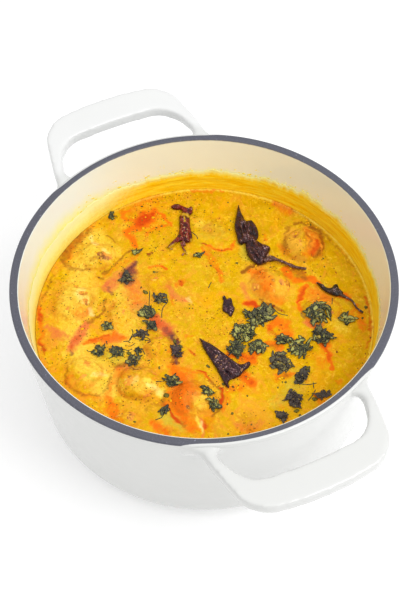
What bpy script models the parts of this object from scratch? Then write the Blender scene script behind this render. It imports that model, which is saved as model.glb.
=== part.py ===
"""Kadhi pakora in its pot: fritters part sunk in a yellow curry, with dried red chillies and
coriander on top, in an enamelled pot with two flat loop handles.

Metres, +Z up. The origin is on the table under the middle of the pot, and the handles point
along +X and -X. The food is laid out as someone at the front of the pot sees it: a place is
given by how far it lies to their right and how far away from them, from the pot's axis.
"""

import math
import random

import bmesh
import bpy
from mathutils import Matrix, Vector, noise
from mathutils.bvhtree import BVHTree

SEED = 7
GAP = 0.0003  # clearance between pieces that touch
WELD = 1e-6
SCREW_WELD = 1e-5
FLAT_ANGLE = math.radians(1)  # faces that meet at less than this are one flat face
POT_SHARP = math.radians(40)  # edges sharper than this aren't shaded smooth
FOOD_SHARP = math.radians(50)

# Pot: one casting of wall, floor, rim and two handles
TURNED_STEPS = 60
RIM_HEIGHT = 0.1154
RIM_OUTER = 0.125
RIM_INNER = 0.120
LIP_HEIGHT = 0.0045  # height of the rolled lip round the rim
LIP_ROUND = 0.0012
OUTER_TOP = 0.1237  # outer wall radius just under the lip
OUTER_FOOT = 0.1147  # outer wall radius where the foot's curve starts
FOOT_CURVE = 0.0175
INNER_TOP = 0.1196  # inner wall radius just under the lip
INNER_DRAFT = 0.125  # inner wall radius lost for each unit of depth
INNER_CURVE = 0.016
FLOOR = 0.0048

# Handle: a flat loop, drawn for the one at +X
GRIP_OUTER = 0.1716  # pot axis to the middle of the grip's outer edge
GRIP_INNER = 0.1500
GRIP_OUTER_BULGE = 0.0066  # how far that edge stands beyond its corners
GRIP_INNER_BULGE = 0.0037
GRIP_OUTER_HALF = 0.0472
GRIP_INNER_HALF = 0.0423
GRIP_OUTER_ROUND = 0.0175
GRIP_INNER_ROUND = 0.0190
ROOT_OUTER_HALF = 0.0580  # half width over the two arms where they meet the wall
ROOT_INNER_HALF = 0.0508
ROOT_OUTER_ROUND = 0.018
ROOT_INNER_ROUND = 0.008
ROOT_RADIUS = 0.1240  # the arms' sides meet the wall at this radius
ROOT_BURIED = 0.1216  # the arms end inside the wall at this radius
ROOT_SPREAD = 0.068  # half width of the buried end of the outer fillets
ROOT_CLOSE = 0.038  # half width of the buried end of the inner fillets
HANDLE_THICK = 0.0087
HANDLE_EDGE = 0.0022  # rounding of the handle's edges
HANDLE_EDGE_ANGLE = math.radians(60)  # only edges sharper than this are rounded
HANDLE_DROP = 0.0004  # top of the handle below the rim, at the roots
HANDLE_RISE = 0.070  # slope of the handle, up and outward
OUTLINE_STEP = 0.012
OUTLINE_TURN = math.radians(15)  # turn of a rounded corner at each point

# Food
FRONT_TURN = math.radians(65.64)  # from the viewer's right to the +X handle, about +Z
LEVEL = 0.0690  # height of the curry's surface
RIPPLE = 0.0006
RIPPLE_SCALE = 55.0
SURFACE_CELLS = 19
BLOCK_HALF = 0.1275  # half width of the block that the curry is cut from
OPEN_SPACE = 0.010  # height over the curry of the space that it is cut with
POCKET_GAP = 0.00039  # clearance round each piece in its pocket
SWELL = 0.0016  # how far the curry climbs round a fritter
SWELL_REACH = 1.35  # of the fritter's radius

# Fritters: right, away, radius to the right, radius away, height above the curry
PAKORAS = [
    (0.0700, 0.0600, 0.0170, 0.0165, 0.0095),
    (0.0450, 0.0260, 0.0200, 0.0185, 0.0066),
    (0.0790, 0.0040, 0.0175, 0.0160, 0.0056),
    (0.0080, 0.0770, 0.0165, 0.0165, 0.0030),
    (-0.0750, 0.0530, 0.0200, 0.0165, 0.0062),
    (-0.0890, 0.0140, 0.0190, 0.0200, 0.0072),
    (-0.0800, -0.0440, 0.0190, 0.0180, 0.0060),
    (-0.0430, -0.0510, 0.0165, 0.0155, 0.0085),
    (-0.0080, -0.0640, 0.0182, 0.0188, 0.0068),
    (-0.0310, 0.0300, 0.0180, 0.0170, 0.0030),
    (-0.0310, -0.0240, 0.0125, 0.0128, 0.0046),
    (-0.0570, 0.0050, 0.0145, 0.0175, 0.0036),
    (-0.0500, -0.0790, 0.0118, 0.0112, 0.0038),
    (0.0290, -0.0840, 0.0140, 0.0125, 0.0024),
    (-0.0230, -0.0920, 0.0100, 0.0092, 0.0028),
]
PAKORA_UP = 0.80  # half height of a fritter, of its mean radius
PAKORA_LUMP = 0.13  # depth of its lumps, of its mean radius
PAKORA_LUMP_SCALE = 105.0
PAKORA_LUMP_SHIFT = Vector((3.7, 1.9, 0))  # in the lumps, from one fritter to the next
PAKORA_SIDES = 12
PAKORA_RINGS = 7

# Chillies: (right, away, height above the curry, radius) along each, from the tip
CHILLIES = {
    "chilli_back": [
        (0.0250, 0.0970, 0.0010, 0.0009),
        (0.0252, 0.0910, 0.0014, 0.0020),
        (0.0262, 0.0840, 0.0020, 0.0036),
        (0.0290, 0.0765, 0.0028, 0.0066),
        (0.0312, 0.0690, 0.0030, 0.0070),
        (0.0318, 0.0640, 0.0028, 0.0054),
        (0.0350, 0.0585, 0.0032, 0.0072),
        (0.0375, 0.0525, 0.0034, 0.0074),
        (0.0405, 0.0490, 0.0036, 0.0040),
        (0.0445, 0.0488, 0.0032, 0.0014),
        (0.0525, 0.0470, 0.0030, 0.0011),
        (0.0610, 0.0415, 0.0028, 0.0010),
        (0.0690, 0.0375, 0.0026, 0.0012),
    ],
    "chilli_front": [
        (-0.0020, -0.0180, 0.0024, 0.0008),
        (0.0022, -0.0235, 0.0026, 0.0034),
        (0.0068, -0.0300, 0.0028, 0.0060),
        (0.0112, -0.0365, 0.0028, 0.0088),
        (0.0155, -0.0425, 0.0028, 0.0112),
        (0.0185, -0.0470, 0.0026, 0.0108),
        (0.0200, -0.0500, 0.0022, 0.0050),
    ],
    "chilli_left": [
        (-0.0200, 0.0950, 0.0020, 0.0022),
        (-0.0165, 0.0945, 0.0026, 0.0034),
        (-0.0125, 0.0915, 0.0026, 0.0036),
        (-0.0122, 0.0860, 0.0024, 0.0038),
        (-0.0128, 0.0790, 0.0020, 0.0042),
        (-0.0132, 0.0720, 0.0020, 0.0044),
        (-0.0136, 0.0655, 0.0018, 0.0048),
        (-0.0138, 0.0610, 0.0014, 0.0036),
    ],
    "chilli_right": [
        (0.0765, 0.0270, 0.0024, 0.0008),
        (0.0795, 0.0246, 0.0026, 0.0024),
        (0.0835, 0.0222, 0.0028, 0.0036),
        (0.0880, 0.0206, 0.0028, 0.0040),
        (0.0915, 0.0190, 0.0026, 0.0030),
        (0.0950, 0.0166, 0.0026, 0.0014),
        (0.1000, 0.0120, 0.0026, 0.0009),
        (0.1035, 0.0060, 0.0026, 0.0009),
        (0.1065, 0.0015, 0.0024, 0.0010),
    ],
    "chilli_flake": [
        (0.0130, 0.0180, 0.0012, 0.0010),
        (0.0140, 0.0145, 0.0014, 0.0026),
        (0.0152, 0.0100, 0.0014, 0.0036),
        (0.0168, 0.0055, 0.0014, 0.0034),
        (0.0182, 0.0020, 0.0012, 0.0014),
    ],
}
CHILLI_FLAT = {  # height of each chilli, of its width
    "chilli_back": 0.66,
    "chilli_front": 0.40,
    "chilli_left": 0.70,
    "chilli_right": 0.80,
    "chilli_flake": 0.50,
}
CHILLI_WRINKLE = 0.16  # depth of its wrinkles, of its radius
CHILLI_WRINKLE_SCALE = 260.0
CHILLI_BEVEL = 2

# Coriander: right, away, length, width, turn of its length from the viewer's right
CORIANDER = [
    (0.0370, 0.0010, 0.0250, 0.0150, 20),
    (0.0260, -0.0120, 0.0200, 0.0170, 60),
    (0.0205, -0.0255, 0.0150, 0.0130, 110),
    (0.0350, -0.0245, 0.0150, 0.0110, 0),
    (0.0525, -0.0190, 0.0120, 0.0085, 100),
    (0.0635, -0.0255, 0.0185, 0.0160, 150),
    (0.0500, -0.0365, 0.0200, 0.0130, 120),
    (0.0630, -0.0475, 0.0170, 0.0070, 60),
    (0.0565, -0.0650, 0.0150, 0.0095, 115),
    (0.0490, -0.0775, 0.0100, 0.0060, 175),
    (0.0770, 0.0010, 0.0210, 0.0140, 10),
    (0.0780, -0.0160, 0.0180, 0.0130, 60),
    (0.0950, -0.0030, 0.0120, 0.0100, 90),
    (0.0765, -0.0625, 0.0120, 0.0055, 15),
    (-0.0305, 0.0165, 0.0120, 0.0085, 80),
    (-0.0385, 0.0050, 0.0130, 0.0110, 130),
    (-0.0355, -0.0055, 0.0100, 0.0075, 80),
    (-0.0420, -0.0130, 0.0120, 0.0060, 10),
    (-0.0650, -0.0060, 0.0085, 0.0070, 30),
    (-0.0700, -0.0265, 0.0110, 0.0075, 150),
    (-0.0580, -0.0265, 0.0110, 0.0075, 160),
    (-0.0475, -0.0345, 0.0110, 0.0085, 120),
    (-0.0440, -0.0265, 0.0085, 0.0060, 20),
    (-0.0210, -0.0500, 0.0130, 0.0085, 100),
    (0.0010, -0.0600, 0.0110, 0.0075, 140),
    (0.0055, -0.0690, 0.0120, 0.0070, 110),
    (-0.0530, 0.0340, 0.0140, 0.0075, 70),
    (-0.0260, -0.0720, 0.0085, 0.0060, 10),
    (-0.0185, -0.0270, 0.0150, 0.0060, 105),
    (-0.0650, 0.0885, 0.0070, 0.0050, 60),
    (-0.0470, 0.0565, 0.0060, 0.0045, 70),
    (-0.0030, 0.0530, 0.0075, 0.0050, 170),
]
LEAF_POINTS = 11
LEAF_THICK = 0.0009
LEAF_LOBES = 3
LEAF_LOBE_DEPTH = 0.26
LEAF_WAVE = 0.0007
LEAF_SHRINK = 0.10  # most that a point of its outline is drawn in, of its reach
LEAF_REACH = 0.0042  # a leaf clears everything this near to each of its points
REACH_RINGS = ((0.5, 6), (1.0, 10))  # where that is tried: share of the reach, and places

# Chopped bits fused to the curry
FLECKS = 12
FLECK_LENGTH = (0.0022, 0.0042)
FLECK_WIDTH = 0.50  # of its length
FLECK_HEIGHT = 0.40
FLECK_LIFT = 0.0625
FLECK_FIELD = 0.100
FLECK_CLEAR = 0.004  # between its middle and a fritter or leaf
FLECK_CLEAR_OF_CHILLI = 0.006

COLOURS = {
    "pot": (0.86, 0.85, 0.81, 0.18, 0.0),
    "curry": (0.85, 0.49, 0.02, 0.30, 0.0),
    "pakora": (0.80, 0.36, 0.05, 0.45, 0.0),
    "chilli": (0.07, 0.008, 0.006, 0.28, 0.0),
    "coriander": (0.07, 0.13, 0.02, 0.50, 0.0),
}


def clear_scene():
    for obj in list(bpy.data.objects):
        bpy.data.objects.remove(obj, do_unlink=True)


def new_collection(name):
    collection = bpy.data.collections.new(name)
    bpy.context.scene.collection.children.link(collection)
    return collection


def new_material(name):
    """A Principled material from COLOURS: red, green, blue, roughness, metallic."""
    red, green, blue, roughness, metallic = COLOURS[name]
    material = bpy.data.materials.new(name)
    material.use_nodes = True
    shader = material.node_tree.nodes["Principled BSDF"]
    shader.inputs["Base Color"].default_value = (red, green, blue, 1)
    shader.inputs["Roughness"].default_value = roughness
    shader.inputs["Metallic"].default_value = metallic
    return material


def add_object(name, mesh, collection, material=None):
    obj = bpy.data.objects.new(name, mesh)
    collection.objects.link(obj)
    if material:
        finish(mesh, material, FOOD_SHARP)
    return obj


def finish(mesh, material, sharp_angle):
    mesh.materials.clear()
    mesh.materials.append(material)
    mesh.shade_smooth()
    mesh.set_sharp_from_angle(angle=sharp_angle)


def mesh_from(bm, name, triangles=False):
    if triangles:
        bmesh.ops.triangulate(bm, faces=bm.faces)
    mesh = bpy.data.meshes.new(name)
    bmesh.ops.recalc_face_normals(bm, faces=bm.faces)
    bm.to_mesh(mesh)
    bm.free()
    return mesh


def evaluated_mesh(obj, triangles=False):
    """The object's mesh with its modifiers applied, welded, in its own space."""
    graph = bpy.context.evaluated_depsgraph_get()
    mesh = bpy.data.meshes.new_from_object(obj.evaluated_get(graph))
    bm = bmesh.new()
    bm.from_mesh(mesh)
    bmesh.ops.remove_doubles(bm, verts=bm.verts, dist=WELD)
    bpy.data.meshes.remove(mesh)
    return mesh_from(bm, obj.name, triangles)


def with_flat_faces(mesh):
    """Joins the triangles of each flat face into one, so that its edges can be rounded."""
    bm = bmesh.new()
    bm.from_mesh(mesh)
    bmesh.ops.dissolve_limit(bm, angle_limit=FLAT_ANGLE, verts=bm.verts, edges=bm.edges)
    bm.to_mesh(mesh)
    bm.free()


def boolean(obj, operation, tools):
    """Joins or cuts with every object of a collection, applies it and removes those objects."""
    modifier = obj.modifiers.new("boolean", "BOOLEAN")
    modifier.operation = operation
    modifier.operand_type = "COLLECTION"
    modifier.collection = tools
    modifier.solver = "EXACT"
    bpy.context.view_layer.update()
    mesh = evaluated_mesh(obj)
    obj.modifiers.clear()
    obj.data = mesh
    for tool in list(tools.objects):
        bpy.data.objects.remove(tool, do_unlink=True)
    bpy.data.collections.remove(tools)


def place(right, away, height):
    """The point at that place on the viewer's layout, in the pot's frame."""
    along_x = right * math.cos(FRONT_TURN) - away * math.sin(FRONT_TURN)
    along_y = right * math.sin(FRONT_TURN) + away * math.cos(FRONT_TURN)
    return Vector((along_x, along_y, height))


def arc(centre_x, centre_z, radius, start, end, steps):
    """Points on an arc, in a turned profile. Angles are in degrees."""
    points = []
    for step in range(steps + 1):
        angle = math.radians(start + (end - start) * step / steps)
        points.append((centre_x + radius * math.cos(angle), centre_z + radius * math.sin(angle)))
    return points


def inner_radius(height):
    return INNER_TOP - INNER_DRAFT * (RIM_HEIGHT - LIP_HEIGHT - height)


def pot_profile():
    """From the middle of the floor, up the inner wall, over the rim and down to the foot."""
    curve_top = FLOOR + INNER_CURVE
    inner_centre = inner_radius(curve_top) - INNER_CURVE
    lip = LIP_ROUND
    profile = [(0, FLOOR)]
    profile += arc(inner_centre, curve_top, INNER_CURVE, -90, 0, 3)
    profile += [(inner_radius(LEVEL), LEVEL), (INNER_TOP, RIM_HEIGHT - LIP_HEIGHT)]
    profile += arc(RIM_INNER + lip, RIM_HEIGHT - lip, lip, 180, 90, 2)
    profile += arc(RIM_OUTER - lip, RIM_HEIGHT - lip, lip, 90, 0, 2)
    profile += [(RIM_OUTER, RIM_HEIGHT - LIP_HEIGHT + lip), (OUTER_TOP, RIM_HEIGHT - LIP_HEIGHT)]
    profile += [((OUTER_TOP + OUTER_FOOT) / 2, RIM_HEIGHT / 2)]
    profile += arc(OUTER_FOOT - FOOT_CURVE, FOOT_CURVE, FOOT_CURVE, 0, -90, 5)
    profile += [(0, 0)]
    return profile


def turned(name, profile, collection):
    """A profile in the XZ plane, screwed once round the Z axis."""
    bm = bmesh.new()
    points = [bm.verts.new((radius, 0, height)) for radius, height in profile]
    for first, second in zip(points, points[1:]):
        bm.edges.new((first, second))
    mesh = bpy.data.meshes.new(name)
    bm.to_mesh(mesh)
    bm.free()
    obj = add_object(name, mesh, collection)
    screw = obj.modifiers.new("turn", "SCREW")
    screw.steps = TURNED_STEPS
    screw.render_steps = TURNED_STEPS
    screw.use_merge_vertices = True
    screw.merge_threshold = SCREW_WELD
    bpy.context.view_layer.update()
    mesh = evaluated_mesh(obj)
    obj.modifiers.clear()
    obj.data = mesh
    return obj


def rounded(corners):
    """An outline's points from its corners, each an (x, y, rounding radius)."""
    points = []
    count = len(corners)
    for index, (x, y, radius) in enumerate(corners):
        corner = Vector((x, y))
        before = (Vector(corners[index - 1][:2]) - corner).normalized()
        after = (Vector(corners[(index + 1) % count][:2]) - corner).normalized()
        if radius == 0:
            points.append(corner)
            continue
        half = math.acos(max(-1, min(1, before.dot(after)))) / 2
        centre = corner + (before + after).normalized() * radius / math.sin(half)
        start = corner + before * radius / math.tan(half) - centre
        end = corner + after * radius / math.tan(half) - centre
        turn = start.angle_signed(end)
        steps = max(3, round(abs(turn) / OUTLINE_TURN))
        for step in range(steps + 1):
            spin = Matrix.Rotation(-turn * step / steps, 2)
            points.append(centre + spin @ start)
    return points


def with_short_edges(points, longest):
    result = []
    for point, after in zip(points, points[1:] + points[:1]):
        pieces = max(1, math.ceil((after - point).length / longest))
        result += [point.lerp(after, piece / pieces) for piece in range(pieces)]
    return result


def bulged(point):
    """Bows the grip outward: its inner edge by one amount and its outer edge by another."""
    outer_line = GRIP_OUTER - GRIP_OUTER_BULGE
    inner_line = GRIP_INNER - GRIP_INNER_BULGE
    out = max(0, min(1, (point.x - ROOT_RADIUS) / (inner_line - ROOT_RADIUS)))
    across = max(0, min(1, (point.x - inner_line) / (outer_line - inner_line)))
    bulge = GRIP_INNER_BULGE + (GRIP_OUTER_BULGE - GRIP_INNER_BULGE) * across
    bow = max(0, 1 - (point.y / GRIP_OUTER_HALF) ** 2)
    return Vector((point.x + bulge * bow * out * out, point.y))


def on_wall(half_width, radius):
    return math.sqrt(radius * radius - half_width * half_width)


def handle_outline():
    """The loop seen from above, closed inside the pot's wall between its two arms."""
    outer_line = GRIP_OUTER - GRIP_OUTER_BULGE
    inner_line = GRIP_INNER - GRIP_INNER_BULGE
    side = [
        (on_wall(ROOT_CLOSE, ROOT_BURIED), ROOT_CLOSE, 0),
        (on_wall(ROOT_INNER_HALF, ROOT_RADIUS), ROOT_INNER_HALF, ROOT_INNER_ROUND),
        (inner_line, GRIP_INNER_HALF, GRIP_INNER_ROUND),
    ]
    outside = [
        (on_wall(ROOT_SPREAD, ROOT_BURIED), ROOT_SPREAD, 0),
        (on_wall(ROOT_OUTER_HALF, ROOT_RADIUS), ROOT_OUTER_HALF, ROOT_OUTER_ROUND),
        (outer_line, GRIP_OUTER_HALF, GRIP_OUTER_ROUND),
    ]
    mirrored_outside = [(x, -y, radius) for x, y, radius in reversed(outside)]
    mirrored_side = [(x, -y, radius) for x, y, radius in reversed(side)]
    corners = outside + mirrored_outside + list(reversed(mirrored_side)) + list(reversed(side))
    points = with_short_edges(rounded(corners), OUTLINE_STEP)
    return [bulged(point) for point in points]


def make_handle(name, turn, collection):
    """The loop as a flat curve with rounded edges, sloped up and turned to its side of the pot."""
    outline = handle_outline()
    curve = bpy.data.curves.new(name, "CURVE")
    curve.dimensions = "2D"
    curve.fill_mode = "BOTH"
    curve.extrude = HANDLE_THICK / 2
    spline = curve.splines.new("POLY")
    spline.points.add(len(outline) - 1)
    for target, point in zip(spline.points, outline):
        target.co = (point.x, point.y, 0, 1)
    spline.use_cyclic_u = True
    drawn = bpy.data.objects.new(name, curve)
    collection.objects.link(drawn)
    bpy.context.view_layer.update()
    mesh = evaluated_mesh(drawn)
    bpy.data.objects.remove(drawn, do_unlink=True)
    with_flat_faces(mesh)
    handle = add_object(name, mesh, collection)
    edges = handle.modifiers.new("edges", "BEVEL")
    edges.width = HANDLE_EDGE
    edges.segments = 2
    edges.limit_method = "ANGLE"
    edges.angle_limit = HANDLE_EDGE_ANGLE
    bpy.context.view_layer.update()
    mesh = evaluated_mesh(handle)
    handle.modifiers.clear()
    handle.data = mesh
    root = on_wall(ROOT_OUTER_HALF, ROOT_RADIUS)
    middle = RIM_HEIGHT - HANDLE_DROP - HANDLE_THICK / 2
    for vertex in mesh.vertices:
        vertex.co.z += middle + HANDLE_RISE * (vertex.co.x - root)
    mesh.transform(Matrix.Rotation(turn, 4, "Z"))
    return handle


def make_pot(collection, material):
    body = turned("pot", pot_profile(), collection)
    handles = new_collection("handles")
    make_handle("handle_right", 0, handles)
    make_handle("handle_left", math.pi, handles)
    boolean(body, "UNION", handles)
    finish(body.data, material, POT_SHARP)
    return body


def make_pakora(index, row, collection, material):
    """A lumpy round fritter, part sunk in the curry."""
    right, away, half_right, half_away, proud = row
    mean = (half_right + half_away) / 2
    half_up = PAKORA_UP * mean
    centre = place(right, away, LEVEL + proud - half_up)
    bm = bmesh.new()
    bmesh.ops.create_uvsphere(bm, u_segments=PAKORA_SIDES, v_segments=PAKORA_RINGS, radius=1)
    for vertex in bm.verts:
        outward = vertex.co.normalized()
        shape = Vector((outward.x * half_right, outward.y * half_away, outward.z * half_up))
        sample = shape * PAKORA_LUMP_SCALE + index * PAKORA_LUMP_SHIFT
        shape *= 1 + PAKORA_LUMP * noise.noise(sample)
        vertex.co = shape
    mesh = mesh_from(bm, f"pakora_{index:02d}", triangles=True)
    mesh.transform(Matrix.Translation(centre) @ Matrix.Rotation(FRONT_TURN, 4, "Z"))
    return add_object(f"pakora_{index:02d}", mesh, collection, material)


def make_chilli(name, stations, collection, material):
    """A dried pod: a tube of changing width, flattened and wrinkled."""
    flat = CHILLI_FLAT[name]
    curve = bpy.data.curves.new(name, "CURVE")
    curve.dimensions = "3D"
    curve.bevel_depth = 1
    curve.bevel_resolution = CHILLI_BEVEL
    curve.use_fill_caps = True
    spline = curve.splines.new("POLY")
    spline.points.add(len(stations) - 1)
    for target, (right, away, height, radius) in zip(spline.points, stations):
        target.co = (*place(right, away, height / flat), 1)
        target.radius = radius
    drawn = bpy.data.objects.new(name, curve)
    collection.objects.link(drawn)
    bpy.context.view_layer.update()
    mesh = evaluated_mesh(drawn, triangles=True)
    bpy.data.objects.remove(drawn, do_unlink=True)
    axis = []
    for right, away, height, radius in stations:
        axis.append((place(right, away, height / flat), radius))
    for vertex in mesh.vertices:
        near, radius = min(axis, key=lambda station: (station[0] - vertex.co).length)
        wrinkle = noise.noise(vertex.co * CHILLI_WRINKLE_SCALE)
        vertex.co += (vertex.co - near).normalized() * wrinkle * CHILLI_WRINKLE * radius
    mesh.transform(Matrix.Translation((0, 0, LEVEL)) @ Matrix.Diagonal((1, 1, flat, 1)))
    return add_object(name, mesh, collection, material)


def surface_height(point):
    """Height of the curry's surface: ripples, and a swell round each fritter."""
    height = LEVEL + RIPPLE * noise.noise(point * RIPPLE_SCALE)
    swell = 0
    for right, away, half_right, half_away, _ in PAKORAS:
        reach = SWELL_REACH * (half_right + half_away) / 2
        distance = (place(right, away, 0) - point).length / reach
        swell = max(swell, math.exp(-(distance**4)))
    return height + SWELL * swell


def curry_block(collection):
    """A block as wide as the pot, whose top is the curry's surface."""
    bm = bmesh.new()
    cells = SURFACE_CELLS
    bmesh.ops.create_grid(bm, x_segments=cells, y_segments=cells, size=BLOCK_HALF)
    turn = Matrix.Rotation(FRONT_TURN, 4, "Z")
    bmesh.ops.transform(bm, matrix=turn, verts=bm.verts)
    bmesh.ops.triangulate(bm, faces=bm.faces)
    rim = [edge for edge in bm.edges if edge.is_boundary]
    skirt = bmesh.ops.extrude_edge_only(bm, edges=rim)["geom"]
    lower = [item for item in skirt if isinstance(item, bmesh.types.BMVert)]
    below = set(lower)
    for vertex in bm.verts:
        flat = Vector((vertex.co.x, vertex.co.y, 0))
        vertex.co.z = -RIM_HEIGHT if vertex in below else surface_height(flat)
    edges = [edge for edge in bm.edges if edge.is_boundary]
    bmesh.ops.edgeloop_fill(bm, edges=edges)
    return add_object("curry_block", mesh_from(bm, "curry_block"), collection)


def curry_profile():
    """The space inside the pot, a gap away from the wall, closed above the curry."""
    low = FLOOR + GAP
    curve_top = low + INNER_CURVE
    centre = inner_radius(curve_top) - INNER_CURVE - GAP
    top = LEVEL + OPEN_SPACE
    profile = [(0, top), (inner_radius(top) - GAP, top)]
    profile += arc(centre, curve_top, INNER_CURVE, 0, -90, 3)
    profile += [(0, low)]
    return profile


def make_flecks(rng, collection):
    """Chopped bits, laid at random on the open curry."""
    made = 0
    while made < FLECKS:
        right = rng.uniform(-FLECK_FIELD, FLECK_FIELD)
        away = rng.uniform(-FLECK_FIELD, FLECK_FIELD)
        length = rng.uniform(*FLECK_LENGTH)
        turn = rng.uniform(0, math.pi)
        if math.hypot(right, away) > FLECK_FIELD or near_a_piece(right, away):
            continue
        point = place(right, away, 0)
        bm = bmesh.new()
        bmesh.ops.create_icosphere(bm, subdivisions=1, radius=1)
        mesh = mesh_from(bm, "fleck")
        spin = Matrix.Rotation(turn, 4, "Z")
        half = length / 2
        size = Matrix.Diagonal((half, half * FLECK_WIDTH, half * FLECK_HEIGHT, 1))
        point.z = surface_height(point) + length * FLECK_LIFT
        mesh.transform(Matrix.Translation(point) @ spin @ size)
        add_object(f"fleck_{made}", mesh, collection)
        made += 1


def near_a_piece(right, away):
    """Whether a fritter, chilli or leaf comes near that place."""
    for piece in PAKORAS:
        if math.hypot(right - piece[0], away - piece[1]) < max(piece[2:4]) + FLECK_CLEAR:
            return True
    for leaf in CORIANDER:
        if math.hypot(right - leaf[0], away - leaf[1]) < leaf[2] / 2 + FLECK_CLEAR:
            return True
    stations = [station for chilli in CHILLIES.values() for station in chilli]
    for station in stations:
        clear = station[3] + FLECK_CLEAR_OF_CHILLI
        if math.hypot(right - station[0], away - station[1]) < clear:
            return True
    return False


def add_pocket(obj, collection):
    """A copy of the piece, a gap larger all round, that cuts its pocket in the curry."""
    bm = bmesh.new()
    bm.from_mesh(obj.data)
    bm.normal_update()
    for vertex in bm.verts:
        vertex.co += vertex.normal * POCKET_GAP
    add_object(obj.name + "_pocket", mesh_from(bm, obj.name + "_pocket"), collection)


def largest_body(mesh):
    """Drops every loose scrap that a cut left."""
    bm = bmesh.new()
    bm.from_mesh(mesh)
    unseen = set(bm.verts)
    bodies = []
    while unseen:
        stack = [unseen.pop()]
        body = set(stack)
        while stack:
            for edge in stack.pop().link_edges:
                fresh = {vertex for vertex in edge.verts if vertex in unseen}
                unseen -= fresh
                body |= fresh
                stack += fresh
        bodies.append(body)
    bodies.sort(key=len)
    for body in bodies[:-1]:
        bmesh.ops.delete(bm, geom=list(body), context="VERTS")
    bm.to_mesh(mesh)
    bm.free()


def make_curry(pieces, rng, collection, material):
    curry = turned("curry", curry_profile(), collection)
    block = new_collection("curry_block")
    curry_block(block)
    boolean(curry, "INTERSECT", block)
    flecks = new_collection("flecks")
    make_flecks(rng, flecks)
    boolean(curry, "UNION", flecks)
    pockets = new_collection("pockets")
    for piece in pieces:
        add_pocket(piece, pockets)
    boolean(curry, "DIFFERENCE", pockets)
    largest_body(curry.data)
    finish(curry.data, material, FOOD_SHARP)
    return curry


class Ground:
    """The top of everything laid so far, asked for its height at a place."""

    def __init__(self, pieces):
        self.points = []
        self.faces = []
        for piece in pieces:
            self.add(piece)

    def add(self, piece):
        start = len(self.points)
        self.points += [vertex.co.copy() for vertex in piece.data.vertices]
        for face in piece.data.polygons:
            self.faces.append([start + index for index in face.vertices])
        self.tree = BVHTree.FromPolygons(self.points, self.faces)

    def height(self, point, reach):
        """The highest point within reach."""
        spots = [point]
        for share, count in REACH_RINGS:
            for step in range(count):
                turn = Matrix.Rotation(2 * math.pi * step / count, 3, "Z")
                spots.append(point + turn @ Vector((reach * share, 0, 0)))
        highest = LEVEL
        for spot in spots:
            start = Vector((spot.x, spot.y, RIM_HEIGHT))
            hit = self.tree.ray_cast(start, Vector((0, 0, -1)))[0]
            if hit and math.hypot(hit.x, hit.y) < inner_radius(LEVEL) - GAP:
                highest = max(highest, hit.z)
        return highest


def make_leaf(index, row, ground, rng, collection, material):
    """A lobed, wavy leaf that lies on whatever is under it."""
    right, away, length, width, turn = row
    spin = Matrix.Rotation(math.radians(turn), 3, "Z")
    phase = rng.uniform(0, math.tau)
    offsets = [Vector((0, 0, 0))]
    for step in range(LEAF_POINTS):
        angle = math.tau * step / LEAF_POINTS
        reach = 1 - LEAF_LOBE_DEPTH * (0.5 - 0.5 * math.cos(LEAF_LOBES * angle + phase))
        reach *= rng.uniform(1 - LEAF_SHRINK, 1)
        offset = Vector((math.cos(angle) * length, math.sin(angle) * width, 0)) * reach / 2
        offsets.append(spin @ offset)
    bm = bmesh.new()
    layers = ([], [])
    for offset in offsets:
        point = place(right + offset.x, away + offset.y, 0)
        low = ground.height(point, LEAF_REACH) + GAP + rng.uniform(0, LEAF_WAVE)
        for layer, height in zip(layers, (low, low + LEAF_THICK)):
            layer.append(bm.verts.new((point.x, point.y, height)))
    for step in range(LEAF_POINTS):
        first = 1 + step
        second = 1 + (step + 1) % LEAF_POINTS
        under, upper = layers
        bm.faces.new((upper[0], upper[first], upper[second]))
        bm.faces.new((under[0], under[second], under[first]))
        bm.faces.new((under[first], under[second], upper[second]))
        bm.faces.new((under[first], upper[second], upper[first]))
    name = f"coriander_{index:02d}"
    leaf = add_object(name, mesh_from(bm, name), collection, material)
    ground.add(leaf)
    return leaf


def main():
    clear_scene()
    rng = random.Random(SEED)
    dish = new_collection("kadhi_pakora")
    materials = {name: new_material(name) for name in COLOURS}
    make_pot(dish, materials["pot"])
    pieces = []
    for index, row in enumerate(PAKORAS, start=1):
        pieces.append(make_pakora(index, row, dish, materials["pakora"]))
    for name, stations in CHILLIES.items():
        pieces.append(make_chilli(name, stations, dish, materials["chilli"]))
    pieces.append(make_curry(pieces, rng, dish, materials["curry"]))
    ground = Ground(pieces)
    for index, row in enumerate(CORIANDER, start=1):
        make_leaf(index, row, ground, rng, dish, materials["coriander"])


main()
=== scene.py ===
"""Kadhi pakora in its pot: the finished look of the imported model.

Metres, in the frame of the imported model. The food is laid out as someone at the front of the pot
sees it: a place is how far it lies to their right and how far away from them, from the pot's
axis, in millimetres. What stands above the curry seems to lie further away than it does, so a
place that is given as seen is moved nearer by its height times SIGHT.
"""

import itertools
import math
import random

import bmesh
import bpy
import numpy as np
from mathutils import Matrix, Vector
from mathutils.bvhtree import BVHTree
from mathutils.geometry import delaunay_2d_cdt


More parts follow.
